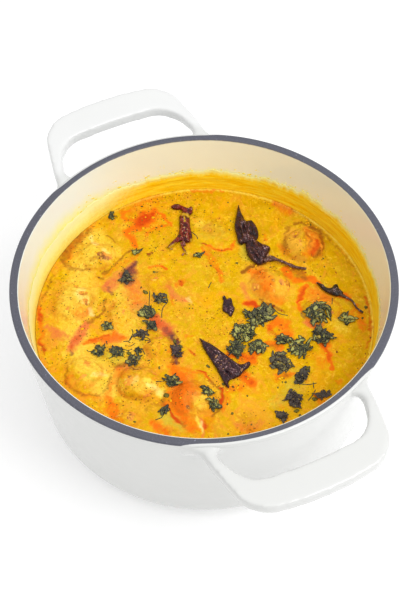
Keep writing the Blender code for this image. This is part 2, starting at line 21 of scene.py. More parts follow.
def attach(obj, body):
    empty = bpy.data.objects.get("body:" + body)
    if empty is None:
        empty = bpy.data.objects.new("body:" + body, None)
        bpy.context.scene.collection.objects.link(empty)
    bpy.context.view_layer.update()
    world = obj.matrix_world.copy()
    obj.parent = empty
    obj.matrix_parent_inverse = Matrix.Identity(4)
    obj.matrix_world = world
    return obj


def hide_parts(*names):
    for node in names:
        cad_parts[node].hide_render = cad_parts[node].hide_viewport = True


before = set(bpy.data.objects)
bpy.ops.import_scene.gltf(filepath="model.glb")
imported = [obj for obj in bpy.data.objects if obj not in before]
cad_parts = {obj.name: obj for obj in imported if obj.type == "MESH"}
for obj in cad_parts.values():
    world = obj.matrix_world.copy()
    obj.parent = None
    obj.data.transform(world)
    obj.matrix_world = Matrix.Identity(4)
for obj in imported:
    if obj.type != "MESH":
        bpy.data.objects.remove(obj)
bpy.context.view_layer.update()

MM = 0.001
FRONT_TURN = math.radians(65.64)  # from the +X handle to the viewer's right, about +Z
SIGHT = 0.721

# Camera
FOCAL = 1300  # in pixels of a picture 612 pixels high
PICTURE_HEIGHT = 612
SENSOR = 36.0
CAMERA_NEAR = 0.01
CAMERA_DISTANCE = 0.8358
CAMERA_ELEVATION = math.radians(54.19)
CAMERA_ROLL = math.radians(0.77)
AIM_RIGHT = 0.11  # the middle of the picture, from the middle of the rim, in pixels
AIM_DOWN = 29.84

# Light: a sky that is strongest straight above, and one soft lamp
SKY_TOP = 1.26
SKY_SIDE = 0.60
LAMP_PLACE = (740, -390)  # right and away, in mm
LAMP_HEIGHT = 1.15
LAMP_SIZE = 0.9
LAMP_POWER = 9.1
STAGE_HALF = 6.0
STAGE_DROP = 0.0002

# Pot
RIM_HEIGHT = 0.1154
RIM_OUTER = 0.125
RIM_INNER = 0.1192
LIP_HEIGHT = 0.0045
LIP_ROUND = 0.0012
WALL_TOP = RIM_HEIGHT - LIP_HEIGHT
OUTER_TOP = 0.1237
OUTER_FOOT = 0.1147
FOOT_CURVE = 0.0175
INNER_TOP = 0.1188
INNER_DRAFT = 0.125
INNER_CURVE = 0.016
FLOOR = 0.0048
POT_STEPS = 240
POT_SHARP = math.radians(40)

# Handles, which are melted into a strip of the wall
HANDLE_LOW = 0.098  # below both handles
HANDLE_VOXEL = 0.0011
HANDLE_SMOOTHING = 9
HANDLE_BURIED = 0.0018  # how far their cut ends are pushed into the wall
CUT_CLEAR = 0.0001
CUT_MARGIN = 0.01
FILLET = 0.0055
FILLET_SIDE = (0.040, 0.050)  # where it starts at their sides, from a handle's middle
UNDERSIDE = -0.3  # a normal that points down more than this belongs to one
ROOT_REACH = (0.004, 0.016)  # smoothed most up to this far from the wall, and not beyond that
ROOT_PULL = 0.9
ROOT_SMOOTHING = 30
ROOT_BAND = (0.088, 0.1148)  # heights of the strip
ROOT_SUNK = 0.0004
ROOT_DEEP = 0.003
ROOT_LIP = 0.0008

# Enamel and bare iron
CREAM_EDGE = 0.1198  # the inner enamel laps onto the rim as far as this radius
CREAM_SLANT = 0.0004  # and this much less far at the back
BARE_LIP = 0.1138  # the rim's bare iron reaches down to this height outside
BARE_REACH = RIM_OUTER + 0.003  # and out to this radius, or to the next one at a handle
BARE_AT_HANDLES = 0.1233
HANDLE_SIDE = (0.051, 0.084)  # where the bare iron narrows, from a handle's middle
FAR_HANDLE_LIGHT_REACH = (0.001, 0.012)  # painted light on the further handle: how far beyond the rim it whitens
LEFT = (-75, -5)  # from the left side of the pot to the rest of it, in mm
LEFT_SLANT = 0.25

# Curry dried on the wall
RESIDUE_STEPS = 600
RESIDUE_ROWS = 26
RESIDUE_HEIGHT = 0.0864
RESIDUE_SWELL = 0.0014
RESIDUE_RAGGED = 0.0011
RESIDUE_FRINGE = (0.0018, 0.0042)  # everywhere, and more where it has splashed highest
SPLASH_TURN = FRONT_TURN + math.radians(54)
SPLASH_WIDTH = 0.2
RESIDUE_SUNK = 0.0012
RESIDUE_IN_WALL = 0.00012
RESIDUE_THICK = 0.00034
RESIDUE_RIDGES = 0.00022
RESIDUE_LUMPS = 0.00012
RESIDUE_THINNEST = 0.00002
RESIDUE_THIN_LEFT = 0.7  # how much thinner it is at the left
RESIDUE_TAPER = 0.3  # the share of its height over which it thins out
RESIDUE_FADE = (0.30, 0.50)  # how much it fades into the enamel, at the right and at the left
RESIDUE_FADE_FROM = (0.85, 0.25)  # and from what share of its height up
RESIDUE_LEMON = 0.7  # how thin its upper edge looks at the right
RESIDUE_LEMON_FROM = 0.7  # and from what share of its height up
RESIDUE_LEMON_LEFT = (0.3, 1.1)  # how thin it looks at the left, and how much more at its top
RESIDUE_ORANGE = 0.25  # how orange its lower edge is
RESIDUE_ORANGE_TO = 0.25  # and up to what share of its height
STAIN_REACH = (3.5, 15.0)  # how far its stain reaches above it at the right and left, in mm
STAIN = (0.55, 0.95)  # how strong it is there
STAIN_FADE = 1.6

# Splashes above the residue, in mm but for their place round the wall
DROPS = 300
DROP_REACH = 3.0
DROP_SUNK = 0.6
DROP_TURN = FRONT_TURN + math.radians(55)
DROP_SPREAD = math.radians(85)
DROP_SIZE = (0.4, 1.5)  # squared
DROP_WIDTH = (0.5, 0.9)  # of its size
DROP_HEIGHT = 0.5
DROP_THICK = 0.12
DROP_CLEAR = 2.0  # below the top of the wall

# Curry
LEVEL = 0.0690
GAP = 0.0003
CURRY_CELLS = 300
SIDE_DEPTH = 0.004
SWIRL = 0.00035
GRAIN = 0.00013
FOLDS = 0.00075
LUMPS = 0.00050
RELIEF = (0.12, 1.0)  # how much of the folds and lumps shows where it lies flat, and on a fritter
DOME = 0.002
CLIMB = 0.0011  # up the wall
CLIMB_REACH = 0.0016
FILM = 0.0007  # over a fritter
THIN_FILM = 0.0002
COAT_LOW = 0.003
COAT_BLEND = 0.0028
COAT_SMOOTHING = (26, 4)  # of a smooth coat, and of one that follows the crust
ROUGH_COAT = {1: 0.9, 2: 0.8, 3: 0.7, 8: 0.6, 9: 0.8, 11: 0.6, 12: 0.5}  # from one to the other, by fritter
OTHER_COATS = 0.25
WALL_PALE = 0.75  # how much paler it is beside the wall
WALL_PALE_REACH = (2.6, 0.8)  # in mm
HOLLOW_SHADE = 0.42  # how strongly the hollows of its relief are painted darker: painted shade, and the oil that gathers there
HOLLOW_DEPTH = (0.00004, 0.00022)
HOLLOW_RISE = 0.0015
HOLLOW_SHOWS = (0.25, 1.0)  # how much of that shows where it lies flat, and on a fritter
SEAM = 0.5  # how strongly the foot of each fritter is painted
SEAM_FROM = (0.5, 1.1)  # heights above the curry's level, in mm
SEAM_TO = (1.2, 2.6)
SEAM_FIELD = 0.108  # out to this radius
STROKE_SOFT = 1.9  # how far a painted stroke fades out, as a share of its half width
EDGE_WANDERS = ((7.0, 1.7), (2.4, 0.8))  # how a stroke's edge wanders: size and reach, in mm

# Fritters
FRITTERS = 15
CRUST_SUNK = 0.0009
CRAG = 0.0006
NUB = 0.0006

# Chillies, in mm or as shares
POD_CELL = 0.42
POD_EDGE = 0.35  # the share of its half width over which wrinkles fade out
POD_STRETCH = 0.38  # its folds and wrinkles are drawn out along it by this
POD_FOLD_SIZE = 3.4
POD_WRINKLE_SIZE = 1.5
POD_RIDGES = (0.5, 0.6)  # how much the folds and the wrinkles redden and lighten it, partly a painted highlight
POD_TOP = (0.72, 0.34)  # of its rise: the smooth part, and the folds
POD_BELOW = 0.55
POD_WRINKLE = 0.42  # height
STALK_SIDES = 10
STALK_KNOTS = 0.25
STALK_RIDGE = 0.55  # how red and how pale a stalk is
STALK_PALE = 0.12
SEED_LIFT = 3.2  # how high the seeds are taken to lie, in mm
SEED_HEIGHT = 0.6  # of its width
SEED_FALLEN = 1.5  # height of one that no pod carries

# Colours, linear
WHITE = (0.66, 0.665, 0.65)
FAR_HANDLE_LIT_WHITE = (0.76, 0.765, 0.76)  # painted light: the further handle, whiter as if more brightly lit
CREAM = (0.92, 0.92, 0.74)
CREAM_LIT_LEFT = (0.86, 0.98, 1.0)  # painted light: a whiter cream where the light is strongest
LEMON = (0.92, 0.96, 0.28)
IRON = (0.092, 0.094, 0.125)
IRON_DARK = tuple(0.7 * part for part in IRON)
IRON_SPECK = tuple(2.2 * part for part in IRON)
KADHI = (0.765, 0.442, 0.002)
# the darker tone of the curry's mottling, and painted shade towards the back right
KADHI_DEEP_AND_SHADE = (0.57, 0.300, 0.000)
KADHI_OLIVE = (0.62, 0.40, 0.018)
KADHI_ORANGE = (0.90, 0.37, 0.008)
KADHI_BLUSH = (0.88, 0.30, 0.035)
KADHI_FLECK = (1.00, 0.64, 0.040)
KADHI_SEAM = (0.66, 0.17, 0.012)
# painted shade in the curry's hollows, orange-brown like the oil that gathers there
KADHI_HOLLOW_SHADE = (0.50, 0.15, 0.008)
KADHI_SPOT = (0.60, 0.19, 0.015)
KADHI_DUST = (0.45, 0.17, 0.006)
DRIED = (0.94, 0.53, 0.000)
DRIED_PALE = (1.00, 0.72, 0.030)
DRIED_ORANGE = (0.90, 0.26, 0.01)
CRUST = (0.92, 0.36, 0.03)
CRUST_DARK = (0.72, 0.21, 0.014)
# painted shade in the crust's hollows
CRUST_HOLLOW_SHADE = (0.27, 0.075, 0.008)
CRUST_COAT = (0.95, 0.50, 0.03)
# painted highlight: the pale glints on the chillies
POD_GLINT = (0.54, 0.34, 0.34)
POD_PALE = (0.42, 0.22, 0.10)
POD_COAT = (0.64, 0.37, 0.01)
LEAF_DARK = (0.034, 0.039, 0.032)
LEAF_GREEN = (0.180, 0.180, 0.045)
LEAF_FRESH = (0.44, 0.43, 0.11)
LEAF_WILTED = (0.070, 0.046, 0.046)
LEAF_SPLASH = (0.62, 0.40, 0.01)
TINTS = {
    "tan": (0.84, 0.420, 0.035),
    # partly patches of paler curry, and partly painted highlights on the fritters and on the lit left side
    "pale": (1.00, 0.740, 0.090),
    "green": (0.56, 0.470, 0.045),
    "pink": (0.76, 0.175, 0.050),
    "orange": (0.84, 0.160, 0.006),
    "brown": (0.32, 0.100, 0.010),
    "red": (0.62, 0.055, 0.006),
    "purple": (0.13, 0.038, 0.045),
    # painted highlights: glints on wet crusts
    "cream": (1.00, 0.800, 0.260),
}

# The skins of the chillies: dark, light and roughness, and which chilli has which
POD_SKINS = {
    "chilli_skin": ((0.018, 0.005, 0.008), (0.115, 0.022, 0.018), 0.32),
    "chilli_dark": ((0.020, 0.006, 0.012), (0.080, 0.022, 0.030), 0.36),
    "chilli_red": ((0.050, 0.004, 0.004), (0.42, 0.030, 0.018), 0.3),
    "chilli_olive": ((0.012, 0.009, 0.007), (0.060, 0.030, 0.016), 0.4),
}
SKIN_OF = {
    "chilli_back": "chilli_skin",
    "chilli_front": "chilli_dark",
    "chilli_left": "chilli_red",
    "chilli_right": "chilli_olive",
    "chilli_flake": "chilli_dark",
}

# Clumps of coriander: right, away, length, width, and the turn of its length from the viewer's right
CORIANDER = [
    (37.0, 1.0, 25, 15, 20),
    (26.0, -12.0, 20, 17, 60),
    (20.5, -25.5, 15, 13, 110),
    (35.0, -24.5, 15, 11, 0),
    (52.5, -19.0, 12, 8.5, 100),
    (63.5, -25.5, 18.5, 16, 150),
    (50.0, -36.5, 20, 13, 120),
    (63.0, -47.5, 17, 7, 60),
    (56.5, -65.0, 15, 9.5, 115),
    (49.0, -77.5, 10, 6, 175),
    (77.0, 1.0, 21, 14, 10),
    (78.0, -16.0, 18, 13, 60),
    (95.0, -3.0, 12, 10, 90),
    (76.5, -62.5, 12, 5.5, 15),
    (-30.5, 16.5, 12, 8.5, 80),
    (-38.5, 5.0, 13, 11, 130),
    (-35.5, -5.5, 10, 7.5, 80),
    (-42.0, -13.0, 12, 6, 10),
    (-65.0, -6.0, 8.5, 7, 30),
    (-70.0, -26.5, 11, 7.5, 150),
    (-58.0, -26.5, 11, 7.5, 160),
    (-47.5, -34.5, 11, 8.5, 120),
    (-44.0, -26.5, 8.5, 6, 20),
    (-21.0, -50.0, 13, 8.5, 100),
    (1.0, -60.0, 11, 7.5, 140),
    (5.5, -69.0, 12, 7, 110),
    (-53.0, 34.0, 14, 7.5, 70),
    (-26.0, -72.0, 8.5, 6, 10),
    (-18.5, -27.0, 15, 6, 105),
    (-65.0, 88.5, 7, 5, 60),
    (-47.0, 56.5, 6, 4.5, 70),
    (-3.0, 53.0, 7.5, 5, 170),
]

# The torn shards of leaf in a clump, in mm
SHARD_LENGTH = (4.4, 10.0)
SHARD_WIDTH = (0.28, 0.72)  # as a share of its length
SHARD_AREA = 8.5  # of the clump for each of them
SHARD_CELL = 0.5
SHARD_INSIDE = 0.42  # how far in from the clump's edge its middle stays, as a share of its size
SHARD_LEAST_ROOM = 0.3
SHARD_TURN = 2.4  # from one to the next round the clump
SHARD_STRAYS = 0.8
SHARD_TILT = 0.14
SHARD_LIFT = (0.22, 1.9)  # above what it lies on
SHARD_SHORTER = (0.55, 20)  # in a narrow clump, its length times this plus the clump's width over that
SHARD_POINTS = 26
SHARD_BEND = 0.9
SHARD_LOBES = (3, 0.20)  # how many, and how deep
SHARD_TEETH = (7, 0.12)
SHARD_UNEVEN = (0.82, 1.14)
SHARD_CURL = 0.35  # how far one of its edges is lifted; the other edge stays down
SHARD_CRUMPLE = (0.25, 2.6)  # height and size
SHARD_STACK = (0.3, 0.7)  # how high it lies on others: at least, and how much more at most
SHARD_FULL = 12  # as many of them make a clump of full height
LEAF_THICK = 0.2

# How fresh and how wilted the leaf of a clump looks, by its number
FRESH = {
    1: 0.8, 2: 1.3, 3: 0.45, 4: 1.1, 5: 0.8, 6: 1.3, 7: 0.7, 8: 0.2, 9: 0.3, 10: 0.3, 11: 0.8,
    12: 0.7, 13: 1.5, 14: 0.3, 15: 0.5, 16: 0.8, 17: 0.4, 18: 0.3, 24: 0.7, 25: 0.8, 29: 0.1,
}
WILTED = {
    1: 0.2, 7: 0.6, 8: 0.5, 9: 0.8, 10: 0.8, 12: 0.2, 14: 0.7, 15: 0.5, 18: 0.7, 22: 0.4,
    27: 0.5, 29: 1.0,
}

# Stalks, and bits of leaf and of chilli, as seen: right, away and, for a bit, its length
STEM_RADIUS = 0.00030
STEMS = [
    [(-26, 19), (-24.7, 14), (-27.5, 9.7), (-28.6, 5.5), (-28.6, 0.5)],
    [(-37, 23), (-37.2, 19), (-37.3, 11)],
    [(-32, -79), (-28, -77), (-26, -73)],
    [(-32, -50), (-27, -50)],
    [(-50, -17), (-47.8, -12), (-48.5, -8.6)],
    [(-54, -18.4), (-50, -17.7), (-47.8, -14.2), (-43, -12)],
    [(-52.7, -21.9), (-49, -22), (-46.4, -20)],
    [(-46.4, -16.3), (-41.5, -17), (-36, -18.4), (-38, -19.8)],
    [(-41.5, -14.9), (-38, -15.6), (-36, -17.7)],
    [(-40.8, -26), (-39.4, -28.9)],
    [(-78, -24.7), (-76.6, -26), (-73.8, -25.4), (-70.3, -24)],
    [(-65.4, -17.7), (-64.7, -20.5)],
    [(-63.3, -31.7), (-60.5, -30.3), (-57, -29.6), (-54.9, -28.6)],
    [(-55, -24), (-51, -25.5), (-48, -24.5)],
    [(3, 25), (5, 30)],
    [(87, 15), (86, 10)],
    [(60, -53), (66, -54), (72, -53)],
    [(70, -52), (70, -57)],
    [(59, -53), (62, -47), (66, -42), (68.4, -40), (68, -45)],
    [(58, -51), (62, -49), (64, -44)],
    [(66, -66), (69, -62), (71, -58)],
    [(46, 8), (50, 3), (56, 1)],
    [(-9, 75), (-5, 71), (-4, 68)],
]
HERB_SPOTS = [
    (23, 46, 2.6), (5, 44, 2.0), (27, -62, 1.8), (17, -75, 2.4), (14, -68, 2.0), (14, -90, 1.8),
    (-30, -39, 1.8), (-45, -80, 2.2), (50, -52, 2.0), (47, -56, 1.8), (18, -55, 2.2), (-10, 8, 1.4),
    (-28, 85, 1.2), (-61, 103, 1.4), (20, 116, 1.2), (18, 101, 1.4), (7, 92, 1.2), (97, 58, 1.4),
    (83, 49, 1.8), (109, 6, 2.0), (-108, -9, 1.8), (106, -2, 2.2), (12, -53, 3.4), (-32, 39, 1.6),
    (-47, -52, 1.2), (-95, 38, 1.4), (-83, 60, 1.4), (-64, 62, 1.6), (-71, 47, 1.3), (-90, 18, 1.2),
    (-43, 26, 2.0), (-40, 22, 5.0), (-34, 39, 3.1), (-20, -19, 3.9), (-16, -23, 4.2), (-18, -30, 3.6),
    (-30, -40, 1.8), (-25, -61, 4.5), (2, -39, 3.4), (-8, 8, 1.3), (-10, 11, 1.3), (-43, -18, 1.8),
    (-39, -18, 1.6), (-50, -19, 2.0), (-50, -28, 4.2), (-61, -30, 1.8), (-54, -30, 1.8),
    (-57, -33, 1.8), (67, -42, 4.8), (65, -41, 3.1), (52, -52, 2.0), (70, -65, 4.2), (69, -61, 1.8),
    (58, -74, 4.2), (60, -77, 2.0), (87, -29, 1.8), (51, -49, 1.4), (109, 7, 3.1), (110, -18, 1.6),
]
CHILLI_SPOTS = [
    (42, 71, 1.6), (43, 66, 1.4), (9, 38, 1.5), (87, -29, 2.2), (-112, 17, 1.2), (-16, 31, 1.4),
    (-39, 55, 1.8), (-72, 35, 1.6), (70, 37, 1.6), (-7, -29, 1.8), (-20, -36, 2.0), (47, 9, 2.6),
    (-22, 59, 1.8), (-17, -36, 1.8), (-21, -37, 1.8), (-18, -17, 2.2), (-18, -11, 1.6), (-38, 55, 2.2),
    (47, 9, 2.6), (52, 5, 2.2),
]

# Bits strewn over the food: how many lie at random, their lengths in mm, their height as a share
# of it, the slot, those at given places, how much rarer the others are at the right, and their
# look: its name, two colours and a roughness
BITS = {
    "spice": (
        1500, (0.45, 1.3), 0.25, "curry", [], 0.5,
        ("dark_spice", (0.36, 0.19, 0.010), (0.15, 0.085, 0.010), 0.6),
    ),
    "herb_bits": (
        45, (0.9, 2.2), 0.3, "leaf", HERB_SPOTS, 0,
        ("chopped_herb", (0.085, 0.075, 0.020), (0.20, 0.17, 0.030), 0.5),
    ),
    "chilli_bits": (
        170, (0.6, 1.6), 0.3, "chilli", CHILLI_SPOTS, 0,
        ("chopped_chilli", (0.48, 0.100, 0.010), (0.22, 0.050, 0.012), 0.4),
    ),
    "curds": (
        260, (1.2, 3.2), 0.2, "curry", [], 0,
        ("curd", (0.90, 0.50, 0.010), (0.88, 0.44, 0.004), 0.4),
    ),
}
BITS_CLEAR = 1.5  # of the wall, in mm
BITS_PATCH = 18.0  # size of the patches that they lie in, in mm
BIT_WIDTH = (0.45, 0.9)  # of its length
BIT_LIFT = 0.15  # of its height

# Streaks and patches in the curry, as seen: tint, strength, and (right, away, half width)
# Pale and cream strokes on the fritters are partly painted highlights, and some brown, tan and orange ones
# in the valleys and on the shaded sides beside them partly painted shade
STREAKS = [
    # the paler side at the left: painted light where the curry is most brightly lit
    ("pale", 0.55, [(-78, 70, 9), (-84, 40, 9), (-90, 8, 9), (-84, -24, 9), (-64, -54, 9)]),
    ("pale", 0.35, [(-54, 30, 9), (-52, 0, 10), (-50, -26, 9)]),
    # painted highlights: glints on wet crusts that catch the light
    ("cream", 0.7, [(-79, 71, 1.2), (-76, 66, 1.8)]),
    ("cream", 0.6, [(-70, 60, 1.6), (-67, 56, 2.2), (-68, 52, 1.4)]),
    ("cream", 0.8, [(-77, 8, 1.2), (-76, 3, 1.6)]),
    ("cream", 0.5, [(-84, 22, 4), (-80, 15, 3)]),
    ("cream", 0.6, [(-36, -52, 1.4), (-32, -57, 2.0), (-29, -60, 1.2)]),
    ("cream", 0.6, [(-72, -43, 1.2), (-66, -45, 1.6)]),
    ("cream", 0.35, [(-12, 16, 1.4), (-9, 12, 1.2)]),
    ("cream", 0.6, [(-3, -80, 0.8), (-3.5, -87, 0.9)]),
    ("cream", 0.5, [(-47, -48, 3), (-43, -44, 1.4)]),
    # oil at the back left
    ("orange", 1.2, [(-46, 80, 4.5), (-42, 84, 6.2), (-39, 89, 6.2), (-36, 92, 4.2)]),
    ("red", 0.99, [(-45, 83, 2.8), (-41, 87, 4.2), (-37, 90, 2.5)]),
    ("orange", 0.99, [(-37, 91, 2.2), (-33, 92, 1.5), (-28, 89, 1.4), (-24, 85, 1.6), (-23, 81, 1.2)]),
    ("orange", 0.77, [(-23, 81, 1.2), (-30, 80, 1.2), (-36, 77, 1.4), (-40, 72, 1.1)]),
    ("orange", 0.77, [(-42, 89, 2), (-49, 86, 1.8), (-55, 87, 2), (-57, 92, 2), (-53, 95, 1.2)]),
    ("orange", 1.1, [(-44, 82, 3.8), (-50, 79, 3.2), (-53, 75, 3.2), (-51, 68, 2.5), (-48, 62, 1.8)]),
    ("orange", 0.5, [(-40, 84, 8.8)]),
    ("orange", 0.39, [(-52, 92, 5), (-46, 102, 8.8), (-36, 108, 7.5)]),
    ("orange", 0.66, [(-8, 113, 1), (5, 112, 1.4), (14, 112, 1)]),
    ("orange", 0.61, [(52, 99, 2.5), (57, 96, 4.5), (62, 91, 3.8)]),
    ("pink", 0.4, [(52, 99, 1.5), (57, 96, 2.6), (62, 91, 2)]),
    # the fritter at the left, behind
    # brown down the valley beside it: partly painted shade
    ("brown", 0.61, [(-97, 47, 1.8), (-98, 55, 2.8), (-92, 63, 3.8), (-87, 70, 3.8), (-81, 76, 2.5)]),
    ("orange", 0.45, [(-95, 50, 2), (-95, 58, 4), (-88, 68, 4), (-80, 79, 3)]),
    ("brown", 0.61, [(-96, 47, 1.5), (-91, 44, 1.5), (-85, 42.5, 1.2), (-78, 43, 1)]),
    ("brown", 0.47, [(-77, 51, 1.9), (-73, 51, 3.2)]),
    ("brown", 0.68, [(-69, 71, 0.6), (-65, 70, 0.8), (-62, 67, 0.6)]),
    # painted highlight on the fritter's lit side
    ("pale", 0.55, [(-72, 62, 6), (-65, 56, 7)]),
    ("pale", 0.45, [(-88, 38, 4), (-80, 35, 5)]),
    ("brown", 0.8, [(-52, 59, 0.8), (-55, 54, 0.8), (-58, 49, 0.8), (-63, 44, 0.8), (-69, 39, 0.9)]),
    ("orange", 0.4, [(-46, 54, 1.5), (-52, 50, 2), (-60, 44, 2), (-68, 37, 2)]),
    ("brown", 0.8, [(-72, 36, 1.0), (-69, 34.5, 1.1)]),
    # the fritter at the left
    ("tan", 0.3, [(-98, 22, 6), (-96, 12, 7)]),
    ("pale", 0.35, [(-88, 26, 9), (-86, 14, 10)]),
    ("orange", 0.3, [(-84, 4, 6)]),
    # painted highlight
    ("pale", 0.4, [(-78, 31, 5), (-77, 21, 6), (-76, 11, 5)]),
    ("pink", 0.4, [(-84, 1, 4), (-79, 5, 3)]),
    ("brown", 0.8, [(-68, 17, 0.8), (-67, 11, 0.9), (-69, 5, 0.9), (-72, 1, 1.0), (-78, -3, 1.0)]),
    ("orange", 0.75, [(-112, 9, 1.2), (-110, -4, 1.8), (-108, -19, 2)]),
    ("red", 0.7, [(-111.5, 6, 1.3), (-110, 1, 1.6)]),
    ("brown", 0.41, [(-104, 38, 1), (-108.5, 24, 1.1), (-111.5, 12, 1.2)]),
    # the left front
    ("pink", 0.75, [(-105, -6, 2.6), (-99, -11, 4), (-93, -13, 3)]),
    ("pink", 1.1, [(-79, -5, 2.4), (-83, -11, 3.6), (-86, -17, 3.8), (-90, -23, 2.4)]),
    ("red", 0.42, [(-85, -14, 1.8), (-89, -22, 1.8)]),
    ("orange", 0.9, [(-80, -20, 1.3), (-74, -18, 1.8), (-67, -16.5, 2.6), (-60, -15, 3.4), (-54, -16, 2)]),
    ("red", 0.72, [(-77, -18.5, 0.7), (-70, -16, 0.7), (-63, -13, 0.8)]),
    ("pink", 0.85, [(-72, -18, 1.6), (-66, -17, 2.2), (-58, -16, 3)]),
    ("red", 0.66, [(-109, -17, 1.4), (-107.5, -23, 1.6), (-106, -28, 1)]),
    ("brown", 0.6, [(-109, -19, 1.1), (-107, -25, 1.4)]),
    ("purple", 0.7, [(-88.5, -26, 1.2), (-88, -28, 1.1)]),
    ("brown", 0.84, [(-60, -39, 1.4), (-56, -37.5, 2.1), (-52, -36, 1.4)]),
    ("pink", 0.7, [(-57, -40, 2), (-52, -39, 3.4)]),
    ("orange", 0.5, [(-58, -44, 2), (-50, -44, 3)]),
    ("tan", 0.9, [(-58, -44, 2.6), (-60, -53, 3), (-61, -61, 3)]),
    ("orange", 0.6, [(-56, -41, 1.6), (-61, -52, 1.8), (-63, -61, 2.2)]),
    ("brown", 0.6, [(-89, -38, 0.9), (-91, -46, 1), (-87, -55, 1.1), (-78, -60, 1), (-68, -60, 1)]),
    ("brown", 0.54, [(-68, -60, 0.9), (-63, -52, 0.9), (-62, -44, 0.8)]),
    ("orange", 0.9, [(-63, -61, 2), (-60, -68, 3.6), (-57, -75, 3.4)]),
    ("orange", 0.5, [(-90, -50, 2), (-87, -46, 2)]),
    ("orange", 0.4, [(-82, -58, 1.2), (-75, -62, 1.4), (-68, -62, 1.4)]),
    ("tan", 0.5, [(-75, -50, 4), (-72, -56, 4)]),
    ("green", 0.6, [(-76, -43, 1.6), (-73, -47, 1.6)]),
    # painted highlight
    ("pale", 0.8, [(-73, -43.5, 0.8), (-68, -46, 1.2), (-65, -43, 1.6)]),
    ("pale", 0.5, [(-74, -37, 5), (-66, -38, 4)]),
    # the front left fritters
    ("pale", 0.5, [(-46, -48, 5), (-42, -54, 5)]),
    ("tan", 0.4, [(-38, -43, 3.4)]),
    # painted highlight
    ("pale", 0.8, [(-38, -48, 2.4), (-34, -55, 3.6), (-29, -60, 2.4)]),
    ("brown", 0.38, [(-52, -61, 1.8), (-44, -63, 2.3), (-36, -64, 1.8)]),
    ("tan", 0.5, [(-46, -68, 4), (-38, -70, 4)]),
    ("brown", 0.36, [(-36, -70, 3.4), (-30, -68, 2.3)]),
    ("orange", 1.1, [(-21, -40, 3), (-17, -47, 4), (-14, -54, 5), (-19, -63, 6), (-16, -73, 5)]),
    ("orange", 0.9, [(-24, -66, 4), (-14, -78, 4.6), (-9, -85, 4)]),
    ("pink", 0.8, [(-18, -50, 4), (-17, -60, 5), (-15, -70, 4)]),
    ("orange", 0.7, [(-20, -40, 1.4), (-10, -42, 1.6), (-2, -44, 1.6), (3, -50, 1.2)]),
    ("orange", 0.55, [(-14, -47, 2), (-5, -53, 2.4)]),
    ("pale", 0.45, [(-4, -62, 4), (-3, -70, 3)]),
    ("orange", 0.6, [(-12, -46, 4), (-9, -55, 5), (-10, -66, 4)]),
    ("pink", 0.55, [(-13, -50, 4), (-11, -60, 5), (-12, -70, 4)]),
    ("brown", 0.84, [(2, -49, 0.9), (8, -55, 1.1), (11, -62, 1.3), (9, -70, 1.1), (4, -78, 0.9)]),
    ("brown", 0.6, [(-27, -58, 1), (-28, -67, 1.1), (-22, -76, 1.1), (-13, -84, 1)]),
    ("red", 0.96, [(-26, -68, 0.9), (-22, -76, 1), (-16, -82, 1)]),
    ("red", 1.08, [(10, -57, 0.8), (10.5, -63, 0.9), (9, -70, 0.9)]),
    ("brown", 0.6, [(10.5, -60, 0.9), (10, -68, 0.9)]),
    ("orange", 0.7, [(13, -58, 1.8), (14, -64, 2.4), (11, -72, 1.8)]),
    ("pale", 0.8, [(-6, -77, 1), (-4, -82, 1.4), (-3.5, -88, 1.1)]),
    ("pink", 0.9, [(-3, -79, 1.2), (-1, -84, 1.6), (-3, -91, 1)]),
    ("red", 0.72, [(-0.5, -79, 1.1), (0.5, -85, 1.4)]),
    ("orange", 0.5, [(3, -76, 3), (4, -85, 3)]),
    ("orange", 0.9, [(-34, -81, 2), (-30, -84, 2.6), (-26, -88, 2)]),
    ("pink", 0.4, [(-31, -84, 2.4)]),
    ("green", 0.75, [(-28, -76, 2.6), (-20, -80, 4), (-14, -85, 3)]),
    # the purple streak down the middle
    ("pink", 1.15, [(-34, -1, 4), (-29, -6, 5), (-25, -9, 4)]),
    ("red", 0.6, [(-33, -2, 3.6), (-28, -7, 3.6), (-23, -13, 2.4)]),
    ("purple", 0.6, [(-27, -8, 2), (-23, -13, 3), (-20, -18, 2.4)]),
    ("purple", 1.0, [
        (-22, -14, 1.6), (-19.5, -19, 1.8), (-18.5, -25, 1.8), (-19, -31, 1.6), (-18, -37, 1.2),
    ]),
    ("brown", 0.8, [(-19, -20, 1), (-19, -29, 1.2), (-22, -36, 0.8), (-17, -36, 0.9)]),
    ("orange", 0.6, [(-20, -26, 3), (-19, -36, 3)]),
    ("red", 0.8, [(-11, -24, 0.7), (-8, -28, 1), (-6, -31, 0.6)]),
    ("red", 0.8, [(-5, -41, 0.6), (-1, -44, 0.9), (2, -48, 0.8)]),
    ("orange", 0.5, [(-12, -14, 2), (-7, -14, 1)]),
    # the middle left
    ("purple", 0.96, [(-46.5, 48, 1.8), (-50, 42, 2.8), (-53, 37, 3.8), (-53, 31, 3.8)]),
    ("pink", 0.84, [(-48, 46, 2.5), (-56, 36, 3.8), (-62, 31, 3.8), (-66, 25, 3)]),
    ("pink", 0.6, [(-50, 30, 5), (-47, 20, 6.2), (-45, 12, 5)]),
    ("orange", 0.35, [(-48, 48, 2), (-50, 24, 6), (-46, 14, 5)]),
    ("purple", 0.6, [(-65, 26, 1.5), (-64, 22, 1.5)]),
    ("orange", 0.8, [(-38, 43, 0.8), (-34, 45.5, 1), (-29, 45, 1.1), (-26, 42, 1.3)]),
    ("red", 0.5, [(-29, 45, 0.7), (-26, 42, 0.9)]),
    ("green", 0.5, [(-34, 39, 1.4)]),
    ("red", 0.8, [(-17, 33, 0.7), (-15.5, 29, 1.4)]),
    ("orange", 0.6, [(-19, 28, 2), (-15, 31, 2)]),
    ("pink", 0.72, [(-24, 25, 1.9), (-20, 17, 2.8), (-14, 15, 2.5)]),
    ("tan", 0.55, [(-20, 16, 4), (-12, 13, 4)]),
